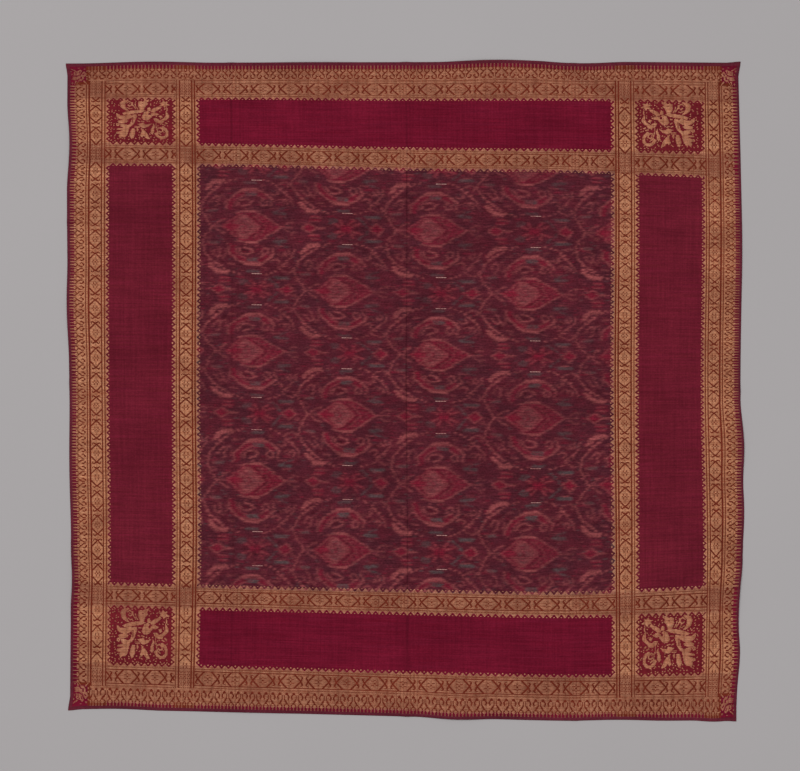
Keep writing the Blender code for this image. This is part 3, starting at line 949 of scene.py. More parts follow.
    ROSETTE = (
        Stroke(Dye.DARK, 12.0, 0.4, ((-6, 0), (6, 0))),
        Stroke(Dye.RED, 3.0, 0.85, ((4, 1.6), (13, 4.6))),
        Stroke(Dye.RED, 3.0, 0.85, ((-4, 1.6), (-12, 4.6))),
        Stroke(Dye.RED, 2.8, 0.8, ((2, 3), (7.5, 8))),
        Stroke(Dye.RED, 2.8, 0.8, ((-2, 3), (-6.5, 8))),
        Stroke(Dye.PALE, 1.8, 0.5, ((6, 2.4), (14, 5.0))),
        Stroke(Dye.PALE, 1.8, 0.45, ((3, 4), (8, 8.4))),
        Stroke(Dye.PALE, 1.8, 0.5, ((-6, 2.4), (-13, 5.0))),
        Stroke(Dye.PALE, 1.8, 0.45, ((-3, 4), (-7, 8.4))),
        Stroke(Dye.RED, 4.0, 1.0, ((-2.5, 0), (2.5, 0))),
        Stroke(Dye.RED, 0.0, 0.95, ((24, 0), (31, 6), (39, 0))),
        Stroke(Dye.PALE, 1.5, 0.7, ((24, 0.5), (31, 5.6), (38, 0.5))),
        Stroke(Dye.TEAL, 3.2, 0.8, ((21, 11.5), (33, 12))),
        Stroke(Dye.TEAL, 2.0, 0.65, ((12, 11), (17, 7), (22, 2))),
        Stroke(Dye.TEAL, 6.0, 0.5, ((-16, 7), (-12, 7.5))),
        Stroke(Dye.RED, 0.0, 0.95, ((-46, 0), (-39, 5.2), (-31, 0))),
        Stroke(Dye.PALE, 1.5, 0.7, ((-46, 0.4), (-39, 4.6), (-31, 0.6), (-22, 0))),
        Stroke(Dye.RED, 2.8, 0.85, ((-38, 7.6), (-28, 7.8))),
        Stroke(Dye.PALE, 1.3, 0.6, ((-38, 6.8), (-29, 6.8))),
        Stroke(Dye.RED, 2.2, 0.85, ((-37, 11.4), (-29, 11.4))),
        Stroke(Dye.PALE, 1.2, 0.55, ((-38, 10.9), (-30, 10.9))),
        Stroke(Dye.PALE, 0.0, 1.0, ((-50, 26), (-46, 26), (-40, 20), (-27, 17.5), (-30, 14.6), (-40, 15.5),
                                    (-47, 20))),
        Stroke(Dye.RED, 1.8, 0.5, ((-20, 12), (-13, 12.4))),
        Stroke(Dye.PALE, 1.3, 0.35, ((40, 9), (46, 12), (50, 9))),
        Stroke(Dye.RED, 2.0, 0.5, ((42, 18), (49, 18))),
    )

    def tile(self) -> Array:
        """One whole repeat, with a channel for each dye, blurred a little along the weft.

        Each mark covers by 1/2 + (half width - distance), cut to 0..1, and pushes the other
        dyes out by as much. The blur is the mean of `bleed` neighbours along the weft.

        Returns:
            Shares of the dyes in an array of rows (upwards), columns and channels.
        """
        columns = int(2 * self.half_width * self.fineness)
        rows = int(2 * self.half_height * self.fineness)
        x = (np.arange(columns)[None, :] + 0.5) / self.fineness
        y = (np.arange(rows)[:, None] + 0.5) / self.fineness
        shares = np.zeros((rows, columns, len(Dye)))
        chance = np.random.default_rng(self.seed)
        for dye, strength in self.FLECKS:
            shares = self.scatter(shares, dye, strength, chance)
        stamps = (
            (self.PALMETTE, self.PALMETTE_SHIFT, self.half_height),
            (self.PALMETTE, self.half_width + self.PALMETTE_SHIFT, 0.0),
            (self.ROSETTE, 0.0, 0.0), (self.ROSETTE, self.half_width, self.half_height),
        )
        for strokes, middle_x, middle_y in stamps:
            dx = wrapped(x - middle_x, 2 * self.half_width)
            dy = np.abs(wrapped(y - middle_y, 2 * self.half_height))
            for stroke in strokes:
                if stroke.width:
                    reach = stroke.width * self.weight / 2.0 + 0.5
                    cover = np.clip(reach - stroke_distance(dx, dy, stroke.path), 0, 1)
                else:
                    cover = inside(dx, dy, stroke.path).astype(float)
                cover = (cover * stroke.strength * self.uneven(cover.shape, chance))[:, :, None]
                own = np.eye(len(Dye))[stroke.dye.value]
                shares = shares * (1.0 - cover) + own * cover
        half = self.bleed // 2
        return np.mean([np.roll(shares, step, axis=1) for step in range(-half, half + 1)], axis=0)

    def uneven(self, shape: tuple[int, int], chance: np.random.Generator) -> Array:
        """Uneven uptake of dye: chance values, averaged over short level runs, about 0.5 to 1.1."""
        rough = chance.random(shape)
        runs = np.mean([np.roll(rough, step, axis=1) for step in range(self.UPTAKE_RUN)], axis=0)
        return np.clip(self.UPTAKE + self.UPTAKE_CHANCE * (runs - 0.5), 0.2, 1.15)

    def scatter(self, shares: Array, dye: Dye, strength: float, chance: np.random.Generator) -> Array:
        """Strew small level flecks of one dye over the repeat's ground.

        Args:
            shares: shares of the dyes so far.
            dye: the flecks' dye.
            strength: the deepest fleck's strength.
            chance: where the flecks' places and lengths come from.

        Returns:
            The shares with the flecks laid over them.
        """
        rows, columns = shares.shape[:2]
        count = self.scattered // len(self.FLECKS)
        shortest, longest = self.FLECK_CELLS
        row, column = chance.integers(0, rows, count), chance.integers(0, columns, count)
        length = chance.integers(shortest, longest + 1, count)[:, None]
        reach = np.arange(longest + 1)[None, :]
        cover = np.zeros((rows, columns))
        for step in (0, 1):
            places = ((row + step)[:, None] % rows, (column[:, None] + reach) % columns)
            np.maximum.at(cover, places, (reach < length) * chance.uniform(0.4, 1.0, count)[:, None])
        cover = (cover * strength)[:, :, None]
        return shares * (1.0 - cover) + np.eye(len(Dye))[dye.value] * cover

    def sample(self, x: Array, y: Array, tile: Array) -> Array:
        """Shares of the dyes at points of the repeat, straight between the tile's cells.

        Args:
            x: the points' places along the weft, in the repeat's units.
            y: their places along the warp.
            tile: the repeat.

        Returns:
            One row of shares for each point.
        """
        rows, columns = tile.shape[:2]
        across = x * self.fineness - 0.5
        up = y * self.fineness - 0.5
        column, row = np.floor(across).astype(int), np.floor(up).astype(int)
        fx, fy = (across - column)[:, None], (up - row)[:, None]
        near, far = column % columns, (column + 1) % columns
        low, high = row % rows, (row + 1) % rows
        lower = tile[low, near] * (1 - fx) + tile[low, far] * fx
        upper = tile[high, near] * (1 - fx) + tile[high, far] * fx
        return lower * (1 - fy) + upper * fy


def linear(hex_colour: str) -> tuple[float, float, float, float]:
    """A colour as the shader wants it.

    Args:
        hex_colour: sRGB hex such as "#6a1729".

    Returns:
        Linear red, green, blue and an alpha of 1.
    """
    channels = np.array([int(hex_colour[place:place + 2], 16) for place in (1, 3, 5)]) / 255.0
    lit = np.where(channels <= 0.04045, channels / 12.92, ((channels + 0.055) / 1.055) ** 2.4)
    return (*(float(value) for value in lit), 1.0)


def add_node(tree: bpy.types.NodeTree, kind: str, inputs: dict | None = None,
             **settings) -> bpy.types.Node:
    """Add one node to a tree.

    Args:
        tree: the material's node tree.
        kind: the node's type name.
        inputs: for each input's name or number, its value, or the output socket linked to it.
        settings: the node's own properties; `ramp` holds the stops of a colour ramp.

    Returns:
        The new node.
    """
    node = tree.nodes.new(kind)
    for stop, (place, colour) in enumerate(settings.pop("ramp", ())):
        elements = node.color_ramp.elements
        element = elements[stop] if stop < len(elements) else elements.new(place)
        element.position = place
        element.color = colour
    for name, value in settings.items():
        setattr(node, name, value)
    for socket, value in (inputs or {}).items():
        if isinstance(value, bpy.types.NodeSocket):
            tree.links.new(value, node.inputs[socket])
        else:
            node.inputs[socket].default_value = value
    return node


def new_material(name: str) -> tuple[bpy.types.Material, bpy.types.NodeTree, bpy.types.Node]:
    """An empty material with its tree and its Principled shader, already joined to the output.

    Args:
        name: the finish's name.

    Returns:
        The material, its node tree and its shader.
    """
    material = bpy.data.materials.new(name)
    material.use_nodes = True
    tree = material.node_tree
    tree.nodes.clear()
    output = add_node(tree, "ShaderNodeOutputMaterial")
    shader = add_node(tree, "ShaderNodeBsdfPrincipled")
    tree.links.new(shader.outputs[0], output.inputs[0])
    return material, tree, shader


class Grain(NamedTuple):
    """Noise in the flat weave: a grain's length along the weft and height along the warp, in mm.

    `detail` is how many finer layers it has, and `seed` moves it to a part of its own.
    """

    along: float
    across: float
    detail: float
    seed: float = 0.0


class Shade(NamedTuple):
    """A grain that darkens a colour to `low` of itself and lightens it to `high`.

    `spread` is how far from its mean the grain reaches those two.
    """

    grain: Grain
    low: float
    high: float
    spread: float = 0.25


def flat_noise(tree: bpy.types.NodeTree, grain: Grain) -> bpy.types.NodeSocket:
    """Noise in the flat weave.

    Args:
        tree: the material's node tree.
        grain: its size, layers and seed.

    Returns:
        The noise's factor, about 0.5.
    """
    flat = add_node(tree, "ShaderNodeAttribute", attribute_name="flat").outputs["Vector"]
    placed = add_node(tree, "ShaderNodeMapping", {
        "Vector": flat,
        "Location": (grain.seed, grain.seed * 1.7, grain.seed * 0.3),
        "Scale": (1.0 / (grain.along * MM), 1.0 / (grain.across * MM), 1.0),
    })
    noise = add_node(tree, "ShaderNodeTexNoise", {
        "Vector": placed.outputs[0], "Scale": 1.0, "Detail": grain.detail, "Roughness": 0.55,
    })
    return noise.outputs["Fac"]


def shaded(tree: bpy.types.NodeTree, colour: bpy.types.NodeSocket,
           shades: tuple[Shade, ...]) -> bpy.types.NodeSocket:
    """A colour made lighter and darker by one pattern after another.

    Args:
        tree: the material's node tree.
        colour: the colour so far.
        shades: the patterns.

    Returns:
        The colour times a grey for each pattern.
    """
    for grain, low, high, spread in shades:
        grey = add_node(tree, "ShaderNodeValToRGB", {0: flat_noise(tree, grain)}, ramp=(
            (0.5 - spread, (low, low, low, 1.0)), (0.5 + spread, (high, high, high, 1.0))))
        mix = add_node(tree, "ShaderNodeMix", {
            FACTOR: 1.0, FIRST: colour, SECOND: grey.outputs[0]}, **MULTIPLY)
        colour = mix.outputs[MIXED]
    return colour


def dress_silk(shader: bpy.types.Node, roughness: float) -> None:
    """Set what all the dyed silk shares: a low crimson sheen and hardly any white gloss.

    Args:
        shader: the silk's shader.
        roughness: how matt it is.
    """
    shader.inputs["Roughness"].default_value = roughness
    shader.inputs["Sheen Weight"].default_value = 0.05
    shader.inputs["Sheen Roughness"].default_value = 0.4
    shader.inputs["Sheen Tint"].default_value = linear("#8a1c30")
    shader.inputs["Specular IOR Level"].default_value = 0.2
    shader.inputs["Specular Tint"].default_value = linear("#a83046")


@dataclass(frozen=True)
class PlainSilk:
    """Dyed, hand-woven silk taffeta: a soft low sheen, fine cross ribs and slightly uneven dye."""

    crimson: str = "#6a1327"
    side_crimson: str = "#661d29"
    under_gold: str = "#6c2b1d"
    hem: str = "#5f2430"
    faded: str = "#741c34"
    # painted shade on the folds' crests: its colour, and how far it darkens the silk at most
    crease_shade: str = "#3c0b16"
    crease_shade_share: float = 0.45
    roughness: float = 0.62

    # single weft threads took the dye unevenly: thin level streaks, drawn 1.4 mm high to show
    STREAKS = Grain(70.0, 1.4, 1.0)
    # faded patches, then hand-thrown threads that vary in depth of dye along both ways of the
    # weave, drawn 1.8 mm wide to show, then the crossings of the weave
    SHADES = (
        Shade(Grain(90.0, 60.0, 3.0, 4.0), 0.8, 1.16),
        Shade(Grain(46.0, 1.8, 1.0, 11.0), 0.86, 1.12, 0.2),
        Shade(Grain(1.8, 60.0, 1.0, 12.0), 0.9, 1.09, 0.2),
        Shade(Grain(2.4, 1.7, 1.0, 9.0), 0.82, 1.17, 0.3),
    )
    # the ribs of the weave are 0.9 mm apart, too fine to show, so they are drawn 1.6 mm apart
    RIBS = Grain(3.0, 1.6, 1.0, 2.0)
    SWELL = Grain(26.0, 34.0, 2.0, 7.0)

    def material(self) -> bpy.types.Material:
        """Build it: dye by zone, streaks along single wefts, faded patches, painted shade on the fold
        creases, ribs.

        Returns:
            The material.
        """
        material, tree, shader = new_material("hand_woven_silk_taffeta")
        zone = add_node(tree, "ShaderNodeAttribute", attribute_name="zone")
        parts = add_node(tree, "ShaderNodeSeparateColor", {0: zone.outputs["Color"]})
        crease_shade = add_node(tree, "ShaderNodeAttribute", attribute_name="crease_shade").outputs["Fac"]
        streak = add_node(tree, "ShaderNodeMath", {
            0: flat_noise(tree, self.STREAKS), 1: 1.3, 2: -0.45}, operation="MULTIPLY_ADD").outputs[0]
        # painted shade along the fold creases, standing in for the shadow there
        dark = add_node(tree, "ShaderNodeMath", {0: crease_shade, 1: self.crease_shade_share},
                        operation="MULTIPLY").outputs[0]
        colour = add_node(tree, "ShaderNodeMix", {
            FACTOR: parts.outputs[0], FIRST: linear(self.crimson), SECOND: linear(self.side_crimson),
        }, **RGBA).outputs[MIXED]
        for share, dye in ((streak, self.faded), (parts.outputs[1], self.under_gold),
                           (parts.outputs[2], self.hem), (dark, self.crease_shade)):
            mix = add_node(tree, "ShaderNodeMix", {
                FACTOR: share, FIRST: colour, SECOND: linear(dye)}, **RGBA)
            colour = mix.outputs[MIXED]
        colour = shaded(tree, colour, self.SHADES)
        tree.links.new(colour, shader.inputs["Base Color"])
        swell = add_node(tree, "ShaderNodeMath", {
            0: flat_noise(tree, self.SWELL), 1: 2.5, 2: flat_noise(tree, self.RIBS)},
            operation="MULTIPLY_ADD").outputs[0]
        # the same crease mask also sinks a shallow groove along each fold's crest
        height = add_node(tree, "ShaderNodeMath", {0: crease_shade, 1: -1.5, 2: swell},
                          operation="MULTIPLY_ADD")
        bump = add_node(tree, "ShaderNodeBump", {
            "Height": height.outputs[0], "Strength": 0.35, "Distance": 0.0006})
        tree.links.new(bump.outputs[0], shader.inputs["Normal"])
        dress_silk(shader, self.roughness)
        return material


@dataclass(frozen=True)
class TiedSilk:
    """Silk whose weft was tied and dyed before weaving: marks with soft, feathered level edges."""

    ground: str = "#4a2029"
    wine: str = "#56202a"
    pale: str = "#924a4b"
    red: str = "#771d2e"
    teal: str = "#4e4445"
    dark: str = "#3e1119"
    # how far the painted crease shade darkens the dyed silk, towards the dark dye's colour
    crease_shade_share: float = 0.35
    roughness: float = 0.6

    MOTTLE = Grain(24.0, 14.0, 3.0, 1.0)
    # neighbouring wefts differ a little in depth of dye: streaks drawn 1.6 mm high to show
    SHADES = (
        Shade(Grain(16.0, 1.6, 1.0, 3.0), 0.72, 1.28),
        Shade(Grain(2.6, 1.8, 1.0, 6.0), 0.74, 1.26),
        Shade(Grain(80.0, 60.0, 1.0, 8.0), 0.88, 1.1),
    )
    # ribs 0.9 mm apart on the real cloth, drawn 1.6 mm apart to show
    RIBS = Grain(4.0, 1.6, 1.0, 2.0)

    def material(self) -> bpy.types.Material:
        """Build it: the four dyes over a mottled ground, streaked weft by weft, with painted shade on the
        fold creases, and ribs.

        Returns:
            The material.
        """
        material, tree, shader = new_material("weft_tied_silk")
        dyes = add_node(tree, "ShaderNodeAttribute", attribute_name="dyes")
        parts = add_node(tree, "ShaderNodeSeparateColor", {0: dyes.outputs["Color"]})
        crease_shade = add_node(tree, "ShaderNodeAttribute", attribute_name="crease_shade").outputs["Fac"]
        # painted shade along the fold creases, in the dark dye's colour
        dark = add_node(tree, "ShaderNodeMath", {0: crease_shade, 1: self.crease_shade_share},
                        operation="MULTIPLY").outputs[0]
        mottle = add_node(tree, "ShaderNodeValToRGB", {0: flat_noise(tree, self.MOTTLE)}, ramp=(
            (0.35, linear(self.ground)), (0.65, linear(self.wine))))
        colour = mottle.outputs[0]
        for share, dye in ((dyes.outputs["Alpha"], self.dark), (parts.outputs[2], self.teal),
                           (parts.outputs[1], self.red), (parts.outputs[0], self.pale), (dark, self.dark)):
            mix = add_node(tree, "ShaderNodeMix", {
                FACTOR: share, FIRST: colour, SECOND: linear(dye)}, **RGBA)
            colour = mix.outputs[MIXED]
        colour = shaded(tree, colour, self.SHADES)
        tree.links.new(colour, shader.inputs["Base Color"])
        # ribs, with a shallow groove along each fold's crease
        height = add_node(tree, "ShaderNodeMath", {
            0: flat_noise(tree, self.RIBS), 1: crease_shade}, operation="SUBTRACT")
        bump = add_node(tree, "ShaderNodeBump", {
            "Height": height.outputs[0], "Strength": 0.3, "Distance": 0.0006})
        tree.links.new(bump.outputs[0], shader.inputs["Normal"])
        dress_silk(shader, self.roughness)
        return material


@dataclass(frozen=True)
class GoldThread:
    """Silk thread wound with gilt paper strip: a warm half-metal gleam, dulled and rubbed by wear."""

    bright: str = "#f7b68a"
    worn: str = "#cb835c"
    tarnished: str = "#9c5c42"
    rosy: str = "#8f4038"
    # what is left of its red, green and blue light along the level borders, which are drawn duller than the
    # upright ones
    level_dimming: tuple[float, float, float] = (0.745, 0.6854, 0.72265)
    metallic: float = 0.25
    roughness: float = 0.45

    # one gold thread is 0.8 mm high, so its own shade is drawn about that high
    THREADS = Grain(22.0, 0.9, 1.0, 5.0)
    RUBBED = Grain(55.0, 40.0, 3.0, 7.0)
    SHADES = (Shade(Grain(1.8, 1.2, 1.0, 2.0), 0.77, 1.2),)

    def material(self) -> bpy.types.Material:
        """Build it: gilt that varies thread by thread, duller along the level borders.

        Returns:
            The material.
        """
        material, tree, shader = new_material("gilt_wrapped_thread")
        thread = add_node(tree, "ShaderNodeValToRGB", {0: flat_noise(tree, self.THREADS)}, ramp=(
            (0.32, linear(self.worn)), (0.68, linear(self.bright))))
        rubbed = add_node(tree, "ShaderNodeValToRGB", {0: flat_noise(tree, self.RUBBED)}, ramp=(
            (0.45, (0.0, 0.0, 0.0, 1.0)), (0.75, (0.6, 0.6, 0.6, 1.0))))
        colour = add_node(tree, "ShaderNodeMix", {
            FACTOR: rubbed.outputs[0], FIRST: thread.outputs[0], SECOND: linear(self.tarnished),
        }, **RGBA).outputs[MIXED]
        red = add_node(tree, "ShaderNodeAttribute", attribute_name="red").outputs["Fac"]
        mix = add_node(tree, "ShaderNodeMix", {
            FACTOR: red, FIRST: colour, SECOND: linear(self.rosy)}, **RGBA)
        colour = mix.outputs[MIXED]
        colour = shaded(tree, colour, self.SHADES)
        level = add_node(tree, "ShaderNodeAttribute", attribute_name="level").outputs["Fac"]
        grey = add_node(tree, "ShaderNodeValToRGB", {0: level}, ramp=(
            (0.0, (1.0, 1.0, 1.0, 1.0)), (1.0, (*self.level_dimming, 1.0))))
        mix = add_node(tree, "ShaderNodeMix", {
            FACTOR: 1.0, FIRST: colour, SECOND: grey.outputs[0]}, **MULTIPLY)
        tree.links.new(mix.outputs[MIXED], shader.inputs["Base Color"])
        shader.inputs["Metallic"].default_value = self.metallic
        shader.inputs["Roughness"].default_value = self.roughness
        return material


@dataclass(frozen=True)
class BareSilk:
    """Undyed silk weft that stayed bare under its tie: pale, with a faint pink stain."""

    pale: str = "#cfa096"
    stained: str = "#ac6c68"
    roughness: float = 0.5

    STAIN = Grain(6.0, 2.0, 2.0, 3.0)

    def material(self) -> bpy.types.Material:
        """Build it: pale silk, stained unevenly along each thread.

        Returns:
            The material.
        """
        material, tree, shader = new_material("undyed_silk_weft")
        stain = add_node(tree, "ShaderNodeValToRGB", {0: flat_noise(tree, self.STAIN)}, ramp=(
            (0.35, linear(self.stained)), (0.6, linear(self.pale))))
        tree.links.new(stain.outputs[0], shader.inputs["Base Color"])
        shader.inputs["Roughness"].default_value = self.roughness
        return material


@dataclass(frozen=True)
class PaleBoard:
    """Matt painted board under the cloth: an even pale grey with the faintest mottle."""

    grey: str = "#ada9aa"
    light: str = "#b1adae"
    roughness: float = 0.9

    def material(self) -> bpy.types.Material:
        """Build it: two near greys by a broad noise on the floor's own coordinates.

        Returns:
            The material.
        """
        material, tree, shader = new_material("matt_painted_board")
        place = add_node(tree, "ShaderNodeTexCoord").outputs["Object"]
        mottle = add_node(tree, "ShaderNodeTexNoise", {"Vector": place, "Scale": 3.0, "Detail": 3.0})
        colour = add_node(tree, "ShaderNodeMix", {
            FACTOR: mottle.outputs["Fac"], FIRST: linear(self.grey), SECOND: linear(self.light)}, **RGBA)
        tree.links.new(colour.outputs[MIXED], shader.inputs["Base Color"])
        shader.inputs["Roughness"].default_value = self.roughness
        return material


def grid_faces(rows: int, columns: int, first: int = 0, upward: bool = True) -> Array:
    """Four-cornered faces of a grid of points numbered row by row from `first`.

    Args:
        rows: how many points the grid has one way.
        columns: how many the other way.
        first: the number of its first point.
        upward: whether the faces look up.

    Returns:
        Four point numbers to a face.
    """
    index = np.arange(rows * columns).reshape(rows, columns) + first
    corners = [index[:-1, :-1], index[:-1, 1:], index[1:, 1:], index[1:, :-1]]
    if not upward:
        corners.reverse()
    return np.stack([corner.ravel() for corner in corners], axis=1)


def grid_rim(rows: int, columns: int) -> Array:
    """Numbers of the points round a grid, anticlockwise from its first point."""
    index = np.arange(rows * columns).reshape(rows, columns)
    return np.concatenate([index[0, :-1], index[:-1, -1], index[-1, :0:-1], index[:0:-1, 0]])


def make_piece(name: str, points: Array, faces: list[tuple[Array, bool]], flat: Array,
               attributes: dict[str, Array], material: bpy.types.Material, uv: Array) -> bpy.types.Object:
    """Make an object from arrays, with its place in its mesh.

    Args:
        name: the piece's name.
        points: its points in metres.
        faces: blocks of faces with the same number of corners, and whether each is shaded smooth.
        flat: the flat place (u, v) of each point, in millimetres.
        attributes: further attributes of the points, of one or four numbers each.
        material: its material.
        uv: each point's place in the piece's own map.

    Returns:
        The object, linked to the scene, riding on the body and given its slot.
    """
    mesh = bpy.data.meshes.new(name)
    mesh.vertices.add(len(points))
    mesh.vertices.foreach_set("co", points.astype(np.float32).ravel())
    corners = np.concatenate([block.ravel() for block, _ in faces]).astype(np.int32)
    counts = np.concatenate([np.full(len(block), block.shape[1]) for block, _ in faces])
    starts = np.concatenate([[0], np.cumsum(counts)[:-1]]).astype(np.int32)
    smooth = np.concatenate([np.full(len(block), soft) for block, soft in faces])
    mesh.loops.add(corners.size)
    mesh.loops.foreach_set("vertex_index", corners)
    mesh.polygons.add(counts.size)
    mesh.polygons.foreach_set("loop_start", starts)
    mesh.update(calc_edges=True)
    mesh.polygons.foreach_set("use_smooth", smooth)
    place = np.zeros((len(points), 3), dtype=np.float32)
    place[:, :2] = flat * MM
    mesh.attributes.new("flat", "FLOAT_VECTOR", "POINT").data.foreach_set("vector", place.ravel())
    for key, values in attributes.items():
        values = values.astype(np.float32)
        if values.ndim == 1:
            mesh.attributes.new(key, "FLOAT", "POINT").data.foreach_set("value", values)
        else:
            mesh.attributes.new(key, "FLOAT_COLOR", "POINT").data.foreach_set("color", values.ravel())
    layer = mesh.uv_layers.new(name="OFBake")
    layer.data.foreach_set("uv", uv[corners].astype(np.float32).ravel())
    mesh.materials.append(material)
    piece = bpy.data.objects.new(name, mesh)
    bpy.context.scene.collection.objects.link(piece)
    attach(piece, BODY)
    log.info("%s: %d triangles", name, int((counts - 2).sum()))
    return piece


def boxed(points: Array) -> Array:
    """X and Y of the points, scaled to fill the unit square."""
    low, high = points[:, :2].min(axis=0), points[:, :2].max(axis=0)
    return 0.004 + 0.992 * (points[:, :2] - low) / (high - low)


@dataclass
class GroundCloth:
    """The silk itself, hem and all: a closed sheet, and the colours of its zones."""

    laying: Laying
    loom: Loom
    cell: float = 8.0
    dye_change: float = 0.25
    turn_up: float = 0.35
    turn_up_width: float = 0.9

    # where the silk's dye changes: comb, sprig, teeth, inner teeth and field, then the same back
    DYE_COLUMNS = (13, 28, 56, 153, 186, 782, 815, 912, 940, 955)
    DYE_ROWS = (9, 28, 54, 143, 171, 884, 912, 996, 1022, 1041)
    FIELD_COLUMN = 191.0
    FIELD_ROWS = (170.0, 885.0)
    CORNER_SHARE = 0.35

    def stops(self, zones: tuple, upright: bool) -> Array:
        """Grid places: zone ends, the hem's roll and the folds' crests, with gaps split evenly.

        Args:
            zones: the loom's columns or rows.
            upright: whether the places are of upright lines.

        Returns:
            The places in order, in millimetres.
        """
        low, high = zones[0][1], zones[-1][1]
        places = {round(place, 2) for _, place in zones}
        # the dye changes at the gold's edges: a pair of places there keeps each change sharp
        find = self.loom.u if upright else self.loom.v
        for edge in find(np.array(self.DYE_COLUMNS if upright else self.DYE_ROWS, dtype=float)):
            places |= {round(float(edge) - self.dye_change, 2), round(float(edge) + self.dye_change, 2)}
        hem = self.laying.hem_width * np.array([0.08, 0.2, 0.4, 0.6, 0.8, 0.93, 1.0, 1.3])
        places |= {round(float(low + depth), 2) for depth in hem}
        places |= {round(float(high - depth), 2) for depth in hem}
        for fold in FOLDS:
            if fold.upright == upright:
                across = fold.place + fold.half_width * np.linspace(-1.0, 1.0, 9)
                places |= {round(float(place), 2) for place in across}
                places |= {round(fold.place - 1.2, 2), round(fold.place + 1.2, 2)}
        ordered = sorted(places)
        kept = [ordered[0]]
        for place in ordered[1:-1]:
            if place - kept[-1] > 0.3 and high - place > 0.35:
                kept.append(place)
        kept.append(high)
        runs = []
        for start, end in zip(kept, kept[1:]):
            count = max(1, int(np.ceil((end - start) / self.cell)))
            runs.append(np.linspace(start, end, count, endpoint=False))
        return np.append(np.concatenate(runs), high)

    def zone_shares(self, u: Array, v: Array) -> Array:
        """Shares of side-panel silk, silk under the gold, and hem silk at each point.

        Args:
            u: places along the weft.
            v: places along the warp.

        Returns:
            Four numbers to a point, the last always 1.
        """
        column, row = self.loom.column_at(u), self.loom.row_at(v)
        inward = np.minimum(column, self.loom.shape[1] - column)
        comb, sprig, teeth, inner_teeth, field = self.DYE_COLUMNS[:5]
        ends = self.DYE_ROWS
        middle_rows = (row > self.FIELD_ROWS[0]) & (row < self.FIELD_ROWS[1])
        side = np.clip((self.FIELD_COLUMN - inward) / 8.0, 0.0, 1.0) * middle_rows
        bands = (inward > comb) & (inward < teeth) | (inward > inner_teeth) & (inward < field)
        for low, high in ((0, 2), (3, 4), (5, 6), (7, 9)):
            bands |= (row > ends[low]) & (row < ends[high]) & (inward > comb)
        bands &= (inward > sprig) | (row > ends[1]) & (row < ends[8])
        corners = (row > ends[2]) & (row < ends[3]) | (row > ends[6]) & (row < ends[7])
        corners &= (inward > teeth) & (inward < inner_teeth)
        gold = np.where(corners, self.CORNER_SHARE, bands)
        hem = np.clip((self.laying.hem_width - 0.2 - self.laying.depth(u, v)) / 0.6, 0.0, 1.0)
        return np.stack([side, gold, hem, np.ones(u.size)], axis=1)

    def build(self, finish: PlainSilk) -> bpy.types.Object:
        """Make the closed sheet: upper grid, lower grid and the rim between them.

        Args:
            finish: the silk's finish.

        Returns:
            The piece, which stands for the node.
        """
        u_stops, v_stops = self.stops(self.loom.COLUMNS, True), self.stops(self.loom.ROWS, False)
        u, v = (grid.ravel() for grid in np.meshgrid(u_stops, v_stops))
        above = self.laying.points(u, v)
        below = above.copy()
        below[:, 2] = self.laying.raised(u, v) * MM
        near_edge = np.clip(1.0 - self.laying.depth(u, v) / self.turn_up_width, 0.0, 1.0)
        below[:, 2] += self.turn_up * MM * near_edge
        rows, columns = v_stops.size, u_stops.size
        count = rows * columns
        rim = grid_rim(rows, columns)
        after = np.roll(rim, -1)
        wall = np.stack([rim + count, after + count, after, rim], axis=1)
        faces = [
            (grid_faces(rows, columns), True),
            (grid_faces(rows, columns, count, upward=False), True),
            (wall, True),
        ]
        # the upper side takes most of the map, and the underside the strip below it
        square = boxed(above)
        uv = np.concatenate([square * (1.0, 0.78) + (0.0, 0.22), square * (1.0, 0.21)])
        attributes = {
            "zone": np.tile(self.zone_shares(u, v), (2, 1)),
            # the painted shade along the fold creases, for both sides
            "crease_shade": np.tile(self.laying.crease_shade(u, v), 2),
        }
        flat = np.tile(np.stack([u, v], axis=1), (2, 1))
        points = np.concatenate([above, below])
        piece = make_piece("ground_cloth", points, faces, flat, attributes, finish.material(), uv)
        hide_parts("headcloth")
        return piece


